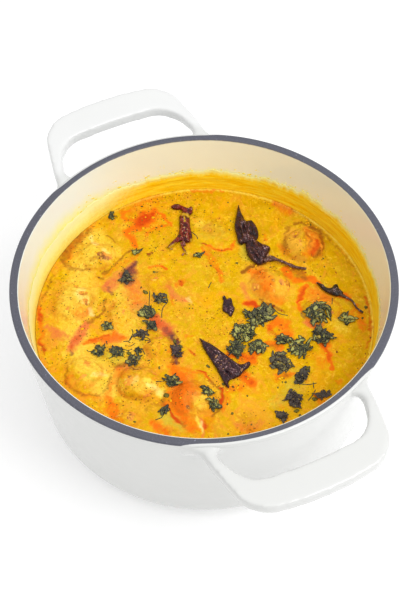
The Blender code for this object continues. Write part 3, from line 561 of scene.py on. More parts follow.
    ("orange", 0.5, [(-23, 18, 1), (-21, 10, 1)]),
    ("green", 0.55, [(-44, 9, 3), (-41, 3, 3)]),
    ("green", 0.5, [(-68, -27, 4), (-58, -32, 5), (-50, -33, 3)]),
    ("brown", 0.9, [(-39, 54.5, 1.1), (-37, 56, 1)]),
    # under the fritter at the back
    ("orange", 0.95, [(0, 64, 0.8), (5, 61, 1.1), (10, 58, 1.2), (18, 59, 1.1), (23, 65, 1)]),
    ("red", 0.7, [(8, 59, 0.6), (13, 58, 0.6), (19, 59.5, 0.6)]),
    ("brown", 0.8, [(-1, 64.5, 0.7), (3, 63, 0.8)]),
    ("orange", 0.75, [(0, 60, 1.1), (2, 54, 1.3), (6, 48, 1.6), (9.5, 41, 1.6), (12, 31, 1.6)]),
    ("orange", 0.5, [(3, 58, 2), (4, 52, 2.4), (9, 46, 2)]),
    ("red", 0.6, [(1, 51, 0.5), (5.5, 44, 0.8), (9, 38, 0.9)]),
    ("pale", 0.45, [(-1, 82, 4), (2, 80, 4)]),
    ("green", 0.35, [(12, 72, 5), (-2, 72, 3)]),
    ("green", 0.6, [(26, 64, 2), (28, 56, 3), (31, 49, 2.6)]),
    # the fritter at the back right
    ("tan", 1.06, [(62, 71, 5.8), (62, 60, 6.9)]),
    ("tan", 0.9, [(73, 75, 3), (77, 67, 5), (77, 58, 5)]),
    ("brown", 0.6, [(72, 70, 1), (75, 66, 1.2), (74, 60, 1), (77, 56, 1)]),
    ("brown", 0.62, [(61, 78, 1.4), (57.5, 73, 1), (56.5, 66, 1), (58, 57, 1)]),
    ("orange", 0.62, [(57, 54, 3.4), (53, 60, 2.3)]),
    ("brown", 0.75, [(65, 80, 1.1), (70, 81, 1.5), (74, 79, 1.4)]),
    ("orange", 0.7, [(73, 74, 3), (76, 68, 5), (78, 60, 5), (73, 54, 4)]),
    ("brown", 0.94, [(77, 77, 1.5), (82, 73, 1.8), (83.5, 66, 1.1), (83, 58, 1.5), (76, 51, 1.5)]),
    ("red", 0.69, [(80, 66, 1.7), (79, 59, 1.7), (74, 53, 1.7)]),
    ("brown", 0.56, [(70.5, 71, 0.6), (71, 64, 0.6), (70.5, 58, 0.6)]),
    ("tan", 0.75, [(67, 49, 3.4)]),
    ("orange", 0.5, [(43, 70, 1.4), (43.5, 66, 1.6)]),
    # the big fritter at the right
    ("brown", 1.19, [(26, 37, 1), (29, 39, 1.5), (33, 42, 1.4), (38, 44, 1), (43, 44.5, 0.7)]),
    ("orange", 0.88, [(31, 38, 1.6), (38, 37, 4.6), (42, 30, 5.3), (41, 22, 4.6)]),
    ("tan", 0.94, [(36, 35, 9.2), (42, 24, 11.5), (50, 22, 9.2)]),
    ("orange", 1.19, [(55, 40, 2.3), (58, 38, 3.4), (59, 35, 2.3)]),
    ("brown", 0.75, [(63, 40, 2.5), (66, 36, 3), (69, 32, 1.8)]),
    ("orange", 0.62, [(62, 40, 3.4), (68, 34, 3.4)]),
    ("pale", 0.20, [(50, 28, 4.6), (53, 21, 4)]),
    ("pink", 0.62, [(26.5, 28, 1.8), (28, 22, 1.8), (30, 16, 1.6)]),
    ("orange", 1.2, [(27.5, 11.5, 2.1), (31, 12, 3.4), (35.5, 9, 2.8)]),
    ("red", 1.12, [(28, 11, 1.6), (32, 12, 2.3), (35, 10, 1.8)]),
    ("brown", 0.88, [(38, 14, 0.9), (43, 11, 1), (47, 8.5, 1.8), (54, 5, 1)]),
    ("tan", 0.75, [(42, 12, 2.3), (50, 8, 2.8)]),
    ("orange", 0.62, [(45, 16, 3.4), (52, 13, 3.4)]),
    # the fritter at the right and its surroundings
    ("orange", 1.06, [(61, 31, 2.3), (67, 31, 2.3), (74, 31, 2.5), (79, 27, 1.8)]),
    ("brown", 0.44, [(63, 33, 1.4), (72, 32, 1.1)]),
    ("orange", 1.19, [(70, 25, 1.6), (66, 20, 2.3), (64, 13, 1.8), (65, 6, 1.8)]),
    ("red", 0.75, [(69, 23, 1.1), (65.5, 18, 1.4), (64, 12, 1.1)]),
    ("orange", 0.75, [(75, 18, 5.8), (83, 15, 4.6)]),
    ("tan", 0.75, [(77, 17, 5.8), (84, 13, 4.6)]),
    ("orange", 1.2, [(91, 18, 2.1), (96, 17.5, 3), (99, 14, 1.8)]),
    ("red", 0.75, [(94, 17, 1.6), (98, 15, 1.4)]),
    ("purple", 0.7, [(65.5, 2, 1.2), (67, -0.5, 1.2)]),
    ("pink", 1.0, [(69, -4, 2.3), (73, -8, 2.5), (77, -8, 2.1)]),
    ("orange", 0.62, [(70, -3, 2.3), (75, -10, 2.3)]),
    ("orange", 1.2, [(77, -20, 2.3), (80, -24, 3), (80.5, -30, 2.3), (81, -36, 1.5), (82, -43, 0.8)]),
    ("orange", 0.44, [(73, -32, 4.6), (76, -37, 4.6)]),
    ("orange", 0.62, [(86, -53, 2.1)]),
    ("orange", 0.75, [(71, -62, 1.8), (74, -67, 2.5)]),
    ("orange", 0.88, [(47, -49, 2.3), (52, -48, 2.3), (57, -46.5, 1.4)]),
    ("brown", 0.5, [(47, -50, 1.1), (53, -48, 1.1)]),
    ("pale", 0.35, [(88, -4, 4), (92, -9, 4)]),
    ("orange", 0.62, [(96, -3, 2.3), (103, 8, 1.6), (106, -10, 2.3)]),
    ("red", 0.62, [(108, 16, 0.6), (110, 5, 0.7), (111, -6, 0.7), (109.5, -17, 0.7), (107, -26, 0.7)]),
    ("brown", 0.44, [(62, 94, 0.8), (74, 83, 0.9), (85, 71, 0.9), (95, 57, 0.9), (103, 41, 0.9)]),
    ("red", 0.6, [(79, -23, 1.2), (80.5, -29, 1.2), (81, -36, 0.8)]),
    # round the chilli and the herbs at the front right
    ("red", 0.7, [(18, -31, 0.9), (26, -33, 1.4), (32, -32, 1.6)]),
    ("red", 0.6, [(26, -47, 1.4), (29, -51, 1.4)]),
    ("orange", 1.2, [(15, -29.5, 1.7), (22, -31.5, 2.4), (30, -32, 3.6), (34.5, -29, 2.2)]),
    ("orange", 1.08, [(24, -35, 2.4), (31, -36, 3.1)]),
    ("orange", 1.2, [(24, -46, 3.6), (28, -50, 4.3), (31, -53, 2.4)]),
    ("orange", 0.6, [(14, -57, 2.4), (22, -55, 2.9)]),
    ("orange", 0.96, [(44, -8, 2.4), (50, -3, 3.6), (54, -7, 3.6), (57, -13, 2.9), (50, -14, 2.9)]),
    ("red", 0.6, [(44, -9, 1.9), (46, -13, 1.7)]),
    ("orange", 0.96, [(40, -23, 2.4), (46, -22, 3.6), (50, -25, 2.4)]),
    ("brown", 0.48, [(40, -24, 1.7), (47, -24, 1.9)]),
    ("pink", 0.6, [(49, -28, 2.9)]),
    ("green", 0.5, [(55, -42, 4), (62, -48, 4), (55, -60, 5), (45, -68, 4)]),
    ("tan", 0.45, [(30, -70, 6), (38, -78, 5)]),
    ("pink", 0.5, [(20, -84, 3), (28, -85, 4), (34, -82, 2)]),
    ("orange", 0.4, [(22, -86, 3), (30, -87, 3)]),
]

# Outlines of the parts of each chilli, as seen: how high its edge lies above the curry, how
# far its top rises above that, the turn of its grain, and then (right, away) round the edge
PODS = {
    "chilli_back": [
        (1.8, 3.6, 100, [
            (25.4, 98.6), (24.4, 94), (23.4, 88), (22.4, 82), (22.2, 77), (23.4, 70), (24.4, 64),
            (26.6, 62), (29.4, 63.5), (32, 61.5), (36, 64), (38.6, 69), (38.4, 75), (36.8, 80),
            (34.4, 83.4), (31.6, 83.4), (29.6, 84.6), (28.4, 88), (27, 92), (26, 96.5),
        ]),
        (2.0, 3.6, 115, [
            (30.6, 66), (29.4, 61), (29.8, 56), (31.4, 51), (34.6, 46.4), (38.4, 44.4), (41.4, 46),
            (43.2, 50), (45.6, 55.4), (46.6, 58.6), (44.6, 61), (41, 62.2), (38.4, 64.6), (34.6, 66.6),
        ]),
    ],
    "chilli_front": [
        (1.6, 2.4, -50, [
            (-3.6, -16.4), (-0.4, -18.4), (4, -21), (9, -25.4), (14, -30), (18.6, -34.6),
            (22.6, -37.4), (25.6, -37.2), (28.4, -35.4), (29.8, -37), (28.4, -40.2), (25.2, -43),
            (22.8, -46.4), (19.4, -48.4), (16.2, -49.6), (15, -52), (15.4, -55.6), (13.4, -54.4),
            (11, -49.4), (8.4, -43), (5, -36), (1.4, -29), (-1.2, -24), (-2.2, -20),
        ]),
    ],
    "chilli_left": [
        (1.4, 2.2, 20, [
            (-23, 97.2), (-21.4, 98.8), (-18, 99.6), (-15.6, 98.2), (-14.4, 96), (-16.8, 94.8),
            (-20.4, 95.2),
        ]),
        (1.6, 2.6, -40, [
            (-16.4, 98), (-13.4, 97.2), (-10.6, 95.2), (-8.8, 97.4), (-7.4, 96), (-7.6, 92),
            (-9.4, 89.6), (-12.4, 90.6), (-14.8, 93.6),
        ]),
        (1.4, 2.6, 95, [
            (-14.4, 93.2), (-11.6, 93.4), (-9.8, 90.4), (-9.4, 84), (-8.8, 77), (-7.8, 70.6),
            (-8.4, 65.6), (-11.6, 64.6), (-13.8, 66.2), (-17, 65.6), (-20.6, 62.4), (-23.8, 59.6),
            (-25, 61), (-21.6, 66), (-18.6, 70), (-17, 75), (-16.8, 82), (-16.8, 88.4),
        ]),
    ],
    "chilli_right": [
        (1.8, 2.4, -25, [
            (76.6, 28.4), (79.6, 27), (83.4, 24), (86.8, 23.6), (88.6, 26), (91, 26), (92.2, 22.6),
            (94.4, 19.4), (93.2, 17.4), (89.6, 16.6), (85.6, 18.4), (81.6, 21.2), (79, 24.4),
        ]),
    ],
    "chilli_flake": [
        (1.0, 1.4, 100, [
            (13.4, 18.6), (12.4, 16.6), (13, 13.6), (12.2, 9), (12.6, 5.4), (15.4, 3.6), (17.4, 0.6),
            (18.8, 2.2), (20.6, 7.4), (19.4, 10.6), (18.6, 15.4), (17.2, 16.4), (15.4, 15.2),
            (14.6, 17.4),
        ]),
    ],
}

# Stems and twigs on the chillies, as seen: (right, away, height above the curry, radius)
STALKS = {
    "chilli_back": [[
        (41.5, 47.5, 2.2, 1.7), (46, 49.6, 2.4, 2.0), (50, 48.8, 2.6, 1.4), (54, 47, 2.6, 1.1),
        (59, 44, 2.6, 1.1), (64, 41.6, 2.4, 1.0), (70.6, 40.2, 2.2, 0.9),
    ]],
    "chilli_left": [
        [(-15.6, 64.6, 1.6, 0.7), (-14.2, 60, 1.4, 0.6), (-12.8, 57, 1.2, 0.7), (-11.4, 54, 0.8, 0.6)],
        [(-13, 56, 1.2, 0.5), (-15, 53.6, 0.8, 0.6)],
        [(-14, 66, 2.0, 1.0), (-13.6, 62, 1.6, 1.3)],
    ],
    "chilli_right": [
        [
            (91, 19, 2.2, 1.3), (96, 15.6, 2, 0.9), (100, 12.4, 2, 0.7), (102.6, 6.6, 1.8, 0.7),
            (106.6, 2.6, 1.6, 0.8),
        ],
        [(81.5, 25.5, 2.2, 0.8), (77, 28.2, 1.8, 0.5)],
    ],
}

# Pale seeds and torn edges on the chillies, as seen: (right, away, length, width, turn)
SEEDS = {
    "chilli_front": [
        (7.4, -31.4, 3.2, 1.6, 60), (10.6, -34.6, 1.6, 0.9, 20), (10.4, -38, 1.3, 0.9, 80),
        (11.8, -41, 1.1, 0.8, 10), (13.8, -33.6, 1.4, 0.8, 50), (15.6, -36.6, 1.0, 0.7, 0),
        (23.8, -41.6, 3.0, 1.4, 70), (8.6, -36.4, 0.9, 0.7, 0), (26.6, -38.2, 1.4, 0.7, 20),
    ],
    "chilli_left": [
        (-13.4, 77.4, 1.8, 1.2, 20), (-14.6, 74.6, 1.6, 1.1, 80), (-12.4, 73.4, 1.6, 1.2, 120),
        (-13.4, 71.4, 1.4, 1.0, 60), (-11.6, 69.4, 2.2, 1.3, 100), (-15.4, 69.8, 1.2, 0.9, 30),
        (-11.2, 75.6, 1.1, 0.8, 0), (-14.6, 80.6, 1.0, 0.7, 0), (-12.8, 84, 0.8, 0.6, 0),
        (-22.4, 60.4, 2.2, 1.2, 40), (-10.6, 66.8, 1.2, 0.8, 0),
    ],
    "chilli_back": [(44.4, 53.6, 3.6, 1.6, 70), (46, 51, 2.2, 1.1, 100)],
}

# Where curry lies over a chilli, as seen: (right, away, half width)
COATED = {
    "chilli_left": [
        [(-16, 90.5, 1.1), (-11.5, 89, 1.1)],
        [(-13.5, 87, 0.6), (-12, 84, 0.6)],
        [(-19, 64, 0.7), (-24, 59, 1.2)],
        [(-13, 57.5, 0.8), (-11.4, 53.5, 1.1)],
        [(-9.6, 68, 0.7), (-9.2, 64, 0.9)],
    ],
}


# ------------------------------------------------------------------ places


def direction(turn):
    """The cosine and sine of a turn."""
    return math.cos(turn), math.sin(turn)


def place(right, away):
    """X and Y of a place on the viewer's layout, in metres."""
    cos, sin = direction(FRONT_TURN)
    return (right * cos - away * sin) * MM, (right * sin + away * cos) * MM


def part_points(right, away, height):
    """Points in the part's frame, from places on the layout and heights above the curry, in mm."""
    return np.column_stack((*place(right, away), height * MM)) + (0, 0, LEVEL)


def as_seen(points):
    """Right and away, in millimetres, where the viewer sees each point against the curry."""
    cos, sin = direction(FRONT_TURN)
    right = points[:, 0] * cos + points[:, 1] * sin
    away = points[:, 1] * cos - points[:, 0] * sin + SIGHT * (points[:, 2] - LEVEL)
    return np.column_stack((right, away)) / MM


def on_the_left(points):
    """How far each place lies towards the viewer's left, from 0 to 1."""
    seen = as_seen(points)
    return 1 - smoothstep(*LEFT, seen[:, 0] + LEFT_SLANT * seen[:, 1])


def rotated(points, turn):
    """Points turned about the vertical."""
    cos, sin = direction(turn)
    return points @ np.array([(cos, sin, 0), (-sin, cos, 0), (0, 0, 1)])


def from_axis(points):
    return np.hypot(points[:, 0], points[:, 1])


# ------------------------------------------------------------------ noise

LATTICE_SIDE = 32
LATTICE = np.random.default_rng(11).uniform(-1, 1, (LATTICE_SIDE,) * 3)


def noise(points, size, seed=0):
    """Smooth noise, from -1 to 1, with lumps of that size."""
    scaled = points / size + 7.31 * seed
    cell = np.floor(scaled).astype(int)
    part = scaled - cell
    part = part * part * (3 - 2 * part)
    total = np.zeros(len(points))
    for corner in itertools.product((0, 1), repeat=3):
        weight = np.prod(np.where(corner, part, 1 - part), axis=1)
        x, y, z = ((cell + corner) % LATTICE_SIDE).T
        total += weight * LATTICE[x, y, z]
    return total


def rough(points, size, octaves, seed=0):
    """Noise of that size with finer noise on it."""
    total = np.zeros(len(points))
    for octave in range(octaves):
        total += noise(points, size / 2**octave, seed + octave) / 2**octave
    return total


def smoothstep(low, high, value):
    """A smooth rise from 0 at low to 1 at high."""
    part = np.clip((value - low) / (high - low), 0, 1)
    return part * part * (3 - 2 * part)


def blend(low, high, share):
    return low + (high - low) * share


# ------------------------------------------------------------------ meshes

SHEET_ROW = 0.87  # between rows of a sheet's points, as a share of their spacing
SHEET_JITTER = 0.15
SHEET_CLEAR = 0.55  # of its edge
CURVE_STEPS = 12  # between the given points of an outline
LUMPY = (0.75, 1.2)  # how far out a small bit's points are moved


def add_object(name, data):
    obj = bpy.data.objects.new(name, data)
    bpy.context.scene.collection.objects.link(obj)
    return obj


def add_piece(name, mesh, material, slot, replaces=(), **painted_on):
    """A visible piece that rides with the pot, with the numbers painted on its points."""
    for key, values in painted_on.items():
        attribute = mesh.attributes.new(key, "FLOAT", "POINT")
        attribute.data.foreach_set("value", np.asarray(values, np.float32))
    obj = add_object(name, mesh)
    mesh.materials.clear()
    mesh.materials.append(material)
    mesh.shade_smooth()
    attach(obj, "root")
    if replaces:
        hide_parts(*replaces)
    return obj


def mesh_of(name, points, faces):
    mesh = bpy.data.meshes.new(name)
    mesh.from_pydata([tuple(point) for point in points], [], faces)
    mesh.update()
    return mesh


def mesh_from(bm, name):
    mesh = bpy.data.meshes.new(name)
    bm.to_mesh(mesh)
    bm.free()
    return mesh


def vectors(items, key):
    values = np.empty(len(items) * 3, np.float32)
    items.foreach_get(key, values)
    return values.reshape(-1, 3).astype(float)


def coordinates(mesh):
    return vectors(mesh.vertices, "co")


def set_coordinates(mesh, points):
    mesh.vertices.foreach_set("co", np.asarray(points, np.float32).ravel())
    mesh.update()


def faces_of(mesh):
    return [tuple(face.vertices) for face in mesh.polygons]


def welded_copy(node):
    """The node's mesh as one closed surface."""
    bm = bmesh.new()
    bm.from_mesh(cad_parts[node].data)
    bmesh.ops.remove_doubles(bm, verts=bm.verts, dist=1e-6)
    return mesh_from(bm, node)


def with_modifiers(mesh, *settings):
    """The mesh after modifiers, each given as its type and its settings."""
    obj = add_object("working", mesh)
    for kind, values in settings:
        modifier = obj.modifiers.new(kind, kind)
        for key, value in values.items():
            setattr(modifier, key, value)
    bpy.context.view_layer.update()
    graph = bpy.context.evaluated_depsgraph_get()
    result = bpy.data.meshes.new_from_object(obj.evaluated_get(graph))
    bpy.data.objects.remove(obj, do_unlink=True)
    return result


def combined(mesh, operation, other):
    """The mesh cut by another or united with it."""
    tool = add_object("tool", other)
    boolean = {"operation": operation, "object": tool, "solver": "EXACT"}
    result = with_modifiers(mesh, ("BOOLEAN", boolean))
    bpy.data.objects.remove(tool, do_unlink=True)
    return result


def joined(shapes):
    """One list of points and one of faces from several."""
    points = []
    faces = []
    start = 0
    for some_points, some_faces in shapes:
        points.append(np.asarray(some_points, float))
        faces += [[start + index for index in face] for face in some_faces]
        start += len(some_points)
    return np.concatenate(points), faces


def curved(before, here, after, last, share):
    """The point that share of the way from here to after, on a smooth curve through all four."""
    square = 2 * before - 5 * here + 4 * after - last
    cubic = -before + 3 * here - 3 * after + last
    return here + share * (after - before + share * (square + share * cubic)) / 2


def denser(stations, times):
    """Stations with others between them, along a smooth curve."""
    stations = np.asarray(stations, float)
    padded = np.concatenate((stations[:1], stations, stations[-1:]))
    result = []
    for four in zip(padded, padded[1:], padded[2:], padded[3:]):
        result += [curved(*four, share) for share in np.linspace(0, 1, times, endpoint=False)]
    result.append(stations[-1])
    return np.array(result)


def rounded(outline, spacing):
    """A closed smooth curve through the outline's points, at an even spacing."""
    outline = np.asarray(outline, float)
    four = [np.roll(outline, shift, axis=0) for shift in (1, 0, -1, -2)]
    curve = [curved(*four, share) for share in np.linspace(0, 1, CURVE_STEPS, endpoint=False)]
    curve = np.stack(curve, axis=1).reshape(-1, 2)
    length = np.hypot(*(np.roll(curve, -1, axis=0) - curve).T)
    reach = np.concatenate(([0], np.cumsum(length)))
    curve = np.concatenate((curve, curve[:1]))
    steps = np.arange(0, reach[-1], reach[-1] / max(round(reach[-1] / spacing), 8))
    return np.column_stack([np.interp(steps[:-1], reach, curve[:, axis]) for axis in (0, 1)])


def edge_distance(points, edge):
    """How far each point lies inside a closed curve. It is below zero outside."""
    start, end = edge, np.roll(edge, -1, axis=0)
    along = end - start
    offset = points[:, None, :] - start[None]
    share = (offset * along).sum(axis=2) / np.maximum((along * along).sum(axis=1), 1e-12)
    gap = offset - np.clip(share, 0, 1)[:, :, None] * along
    near = np.hypot(gap[..., 0], gap[..., 1]).min(axis=1)
    crosses = (start[:, 1] > points[:, 1, None]) != (end[:, 1] > points[:, 1, None])
    rise = np.where(along[:, 1] == 0, 1e-12, along[:, 1])
    reach = start[:, 0] + along[:, 0] * (points[:, 1, None] - start[:, 1]) / rise
    inside = (crosses & (points[:, 0, None] < reach)).sum(axis=1) % 2
    return np.where(inside == 1, near, -near)


def sheet(outline, spacing, rng):
    """A filled outline: its points, how far each lies inside the edge, and its triangles."""
    edge = rounded(outline, spacing)
    low, high = edge.min(axis=0), edge.max(axis=0)
    columns = np.arange(low[0], high[0], spacing)
    across, up = np.meshgrid(columns, np.arange(low[1], high[1], spacing * SHEET_ROW))
    across[1::2] += spacing / 2
    inner = np.column_stack((across.ravel(), up.ravel()))
    inner += rng.uniform(-SHEET_JITTER, SHEET_JITTER, inner.shape) * spacing
    inner = inner[edge_distance(inner, edge) > SHEET_CLEAR * spacing]
    corners = [Vector(point) for point in np.concatenate((edge, inner))]
    sides = [(index, (index + 1) % len(edge)) for index in range(len(edge))]
    points, _, faces, *_ = delaunay_2d_cdt(corners, sides, [], 1, 1e-5)
    points = np.array([tuple(point) for point in points])
    return points, np.maximum(edge_distance(points, edge), 0), [tuple(face) for face in faces]


def skins(points, top, bottom, faces):
    """A closed shape from a sheet's points and the height of each on top and below."""
    count = {}
    for face in faces:
        for pair in zip(face, face[1:] + face[:1]):
            key = tuple(sorted(pair))
            count[key] = count.get(key, 0) + 1
    rim = {index for pair, uses in count.items() if uses == 1 for index in pair}
    under = {}
    solid = [(*points[index], top[index]) for index in range(len(points))]
    for index in range(len(points)):
        under[index] = index if index in rim else len(solid)
        if index not in rim:
            solid.append((*points[index], bottom[index]))
    below = [tuple(under[index] for index in reversed(face)) for face in faces]
    return np.array(solid), faces + below


def band(first, second):
    """The faces between two closed rings, given by the indices of their points."""
    return list(zip(first, first[1:] + first[:1], second[1:] + second[:1], second))


def tube(stations, sides):
    """A closed tube along (x, y, z, radius) stations."""
    stations = np.asarray(stations, float)
    points = []
    for index, (x, y, z, radius) in enumerate(stations):
        ahead = stations[min(index + 1, len(stations) - 1)][:3]
        behind = stations[max(index - 1, 0)][:3]
        along = Vector(ahead - behind).normalized()
        side = along.cross(Vector((0, 0, 1))).normalized()
        up = side.cross(along)
        for step in range(sides):
            cos, sin = direction(2 * math.pi * step / sides)
            out = (cos * side + sin * up) * radius
            points.append((x + out.x, y + out.y, z + out.z))
    rings = [list(range(start, start + sides)) for start in range(0, len(points), sides)]
    faces = [face for pair in zip(rings, rings[1:]) for face in band(*pair)]
    return np.array(points), faces + [tuple(reversed(rings[0])), tuple(rings[-1])]


def ball(subdivisions):
    bm = bmesh.new()
    bmesh.ops.create_icosphere(bm, subdivisions=subdivisions, radius=1)
    points = np.array([vertex.co for vertex in bm.verts])
    faces = [tuple(vertex.index for vertex in face.verts) for face in bm.faces]
    bm.free()
    return points, faces


def lumpy(points, rng):
    return points * [[rng.uniform(*LUMPY)] for _ in points]


def bit(shape, at, length, width, height, turn, rng):
    """A small lumpy bit that lies flat at a point."""
    points, faces = shape
    sized = lumpy(points, rng) * (length / 2, width / 2, height / 2)
    return rotated(sized, turn) + at, faces


class Ground:
    """The top of some shapes, asked for its height at a place."""

    def __init__(self, shapes):
        points, faces = joined(shapes)
        self.tree = BVHTree.FromPolygons([tuple(point) for point in points], faces)

    def under(self, x, y):
        """The highest point there, or None."""
        return self.tree.ray_cast(Vector((x, y, RIM_HEIGHT)), Vector((0, 0, -1)))[0]

    def above_curry(self, right, away):
        """Its height above the curry's level, in millimetres."""
        hit = self.under(*place(right, away))
        return (hit.z - LEVEL) / MM if hit else 0.0

    def seen_at(self, right, away):
        """The point that the viewer sees at that place."""
        nearer = 0.0
        for _ in range(6):
            x, y = place(right, away - nearer)
            hit = self.under(x, y)
            height = hit.z if hit else LEVEL
            nearer = SIGHT * (height - LEVEL) / MM
        return Vector((x, y, height))


def ground_of(pieces):
    return Ground((coordinates(piece.data), faces_of(piece.data)) for piece in pieces)


# ------------------------------------------------------------------ materials


class Nodes:
    """A tree of shader nodes under construction."""

    def __init__(self, tree):
        self.tree = tree

    def put(self, socket, value):
        if isinstance(value, bpy.types.NodeSocket):
            self.tree.links.new(value, socket)
        elif isinstance(value, tuple) and len(value) == 3 and socket.type == "RGBA":
            socket.default_value = (*value, 1)
        else:
            socket.default_value = value

    def node(self, kind, output, **settings):
        """One output of a new node."""
        node = self.tree.nodes.new("ShaderNode" + kind)
        for key, value in settings.items():
            self.put(node.inputs[key], value)
        return node.outputs[output]

    def math(self, operation, *values):
        node = self.tree.nodes.new("ShaderNodeMath")
        node.operation = operation
        for socket, value in zip(node.inputs, values):
            self.put(socket, value)
        return node.outputs["Value"]


class Finish(Nodes):
    """A Principled material under construction. Its base is the colour so far."""

    def __init__(self, name, roughness, **settings):
        self.material = bpy.data.materials.new(name)
        self.material.use_nodes = True
        super().__init__(self.material.node_tree)
        self.inputs = self.tree.nodes["Principled BSDF"].inputs
        self.inputs["Roughness"].default_value = roughness
        for key, value in settings.items():
            self.put(self.inputs[key.replace("_", " ")], value)
        self.where = self.node("TexCoord", "Object")
        self.base = WHITE

    def noise(self, size, detail=3.0, distortion=0.0, stretch=None, roughness=0.5):
        """Noise with lumps of that size, in metres."""
        where = self.where
        if stretch:
            where = self.node("Mapping", "Vector", Vector=where, Scale=stretch)
        look = {"Detail": detail, "Roughness": roughness, "Distortion": distortion}
        return self.node("TexNoise", "Fac", Vector=where, Scale=1 / size, **look)

    def cells(self, size):
        return self.node("TexVoronoi", "Distance", Vector=self.where, Scale=1 / size)

    def attribute(self, name):
        node = self.tree.nodes.new("ShaderNodeAttribute")
        node.attribute_name = name
        return node.outputs["Fac"]

    def patchy(self, name, size):
        """A painted share, worn uneven and ragged by noise."""
        wear = self.noise(size, detail=7, distortion=1.5, roughness=0.68)
        share = self.attribute(name)
        total = self.math("ADD", share, self.math("MULTIPLY_ADD", wear, 1.9, -0.95))
        there = self.math("MINIMUM", self.math("MULTIPLY", share, 4.0), 1.0)
        return self.math("MULTIPLY", self.ramp(total, 0.05, 1.00, 0, 0.95), there)

    def ramp(self, value, low, high, to_low=0.0, to_high=1.0):
        """The value mapped from one range to another, and kept in it."""
        node = self.tree.nodes.new("ShaderNodeMapRange")
        for socket, number in zip(node.inputs, (value, low, high, to_low, to_high)):
            self.put(socket, number)
        return node.outputs["Result"]

    def mix(self, share, first, second):
        """Two colours mixed."""
        node = self.tree.nodes.new("ShaderNodeMix")
        node.data_type = "RGBA"
        sockets = [socket for socket in node.inputs if socket.enabled]
        for socket, value in zip(sockets, (share, first, second)):
            self.put(socket, value)
        return next(socket for socket in node.outputs if socket.enabled)

    def lay(self, share, tint):
        """Covers a share of the base with another colour."""
        self.base = self.mix(share, self.base, tint)

    def bump(self, height, distance):
        settings = {"Height": height, "Distance": distance, "Strength": 1.0}
        self.put(self.inputs["Normal"], self.node("Bump", "Normal", **settings))

    def ready(self):
        self.put(self.inputs["Base Color"], self.base)
        return self.material


def enamel_material():
    """White outside, cream inside with faint stains, bare grey iron on the rim. Painted light whitens the
    inner wall at the left and the further handle.
    """
    finish = Finish("enamel", 0.2, Coat_Weight=0.35, Coat_Roughness=0.08)
    wander = finish.ramp(finish.noise(0.004, detail=4), 0, 1, -0.08, 0.08)
    iron = finish.ramp(finish.math("ADD", finish.attribute("iron"), wander), -0.12, 0.12)
    inside = finish.ramp(finish.attribute("inside"), -0.2, 0.2)
    # painted light: the inner wall whiter at the left, where the light is strongest
    cream = finish.mix(finish.attribute("left"), CREAM, CREAM_LIT_LEFT)
    cream = finish.mix(finish.ramp(finish.noise(0.03), 0, 1, 0, 0.3), cream, CREAM)
    cloud = finish.ramp(finish.noise(0.004, detail=5, roughness=0.7), 0.3, 0.7, 0.65, 1.35)
    stained = finish.mix(finish.math("MULTIPLY", cloud, finish.attribute("stain")), cream, LEMON)
    grain = finish.noise(0.0011, detail=3, roughness=0.7)
    dark = finish.mix(finish.ramp(grain, 0.35, 0.7), IRON_DARK, IRON)
    speck = finish.ramp(finish.noise(0.0019, detail=2, roughness=0.8), 0.66, 0.74)
    # painted light: the further handle a little whiter than the rest
    finish.base = finish.mix(finish.attribute("handle"), WHITE, FAR_HANDLE_LIT_WHITE)
    finish.lay(finish.ramp(finish.noise(0.05), 0, 1, 0, 0.3), WHITE)
    finish.lay(inside, stained)
    finish.lay(iron, finish.mix(speck, dark, IRON_SPECK))
    finish.put(finish.inputs["Roughness"], finish.ramp(iron, 0, 1, 0.2, 0.62))
    gritty = finish.math("MULTIPLY", grain, iron)
    wave = finish.noise(0.012, detail=1)
    finish.bump(finish.math("MULTIPLY_ADD", gritty, 1.6, wave), 0.0002)
    return finish.ready()


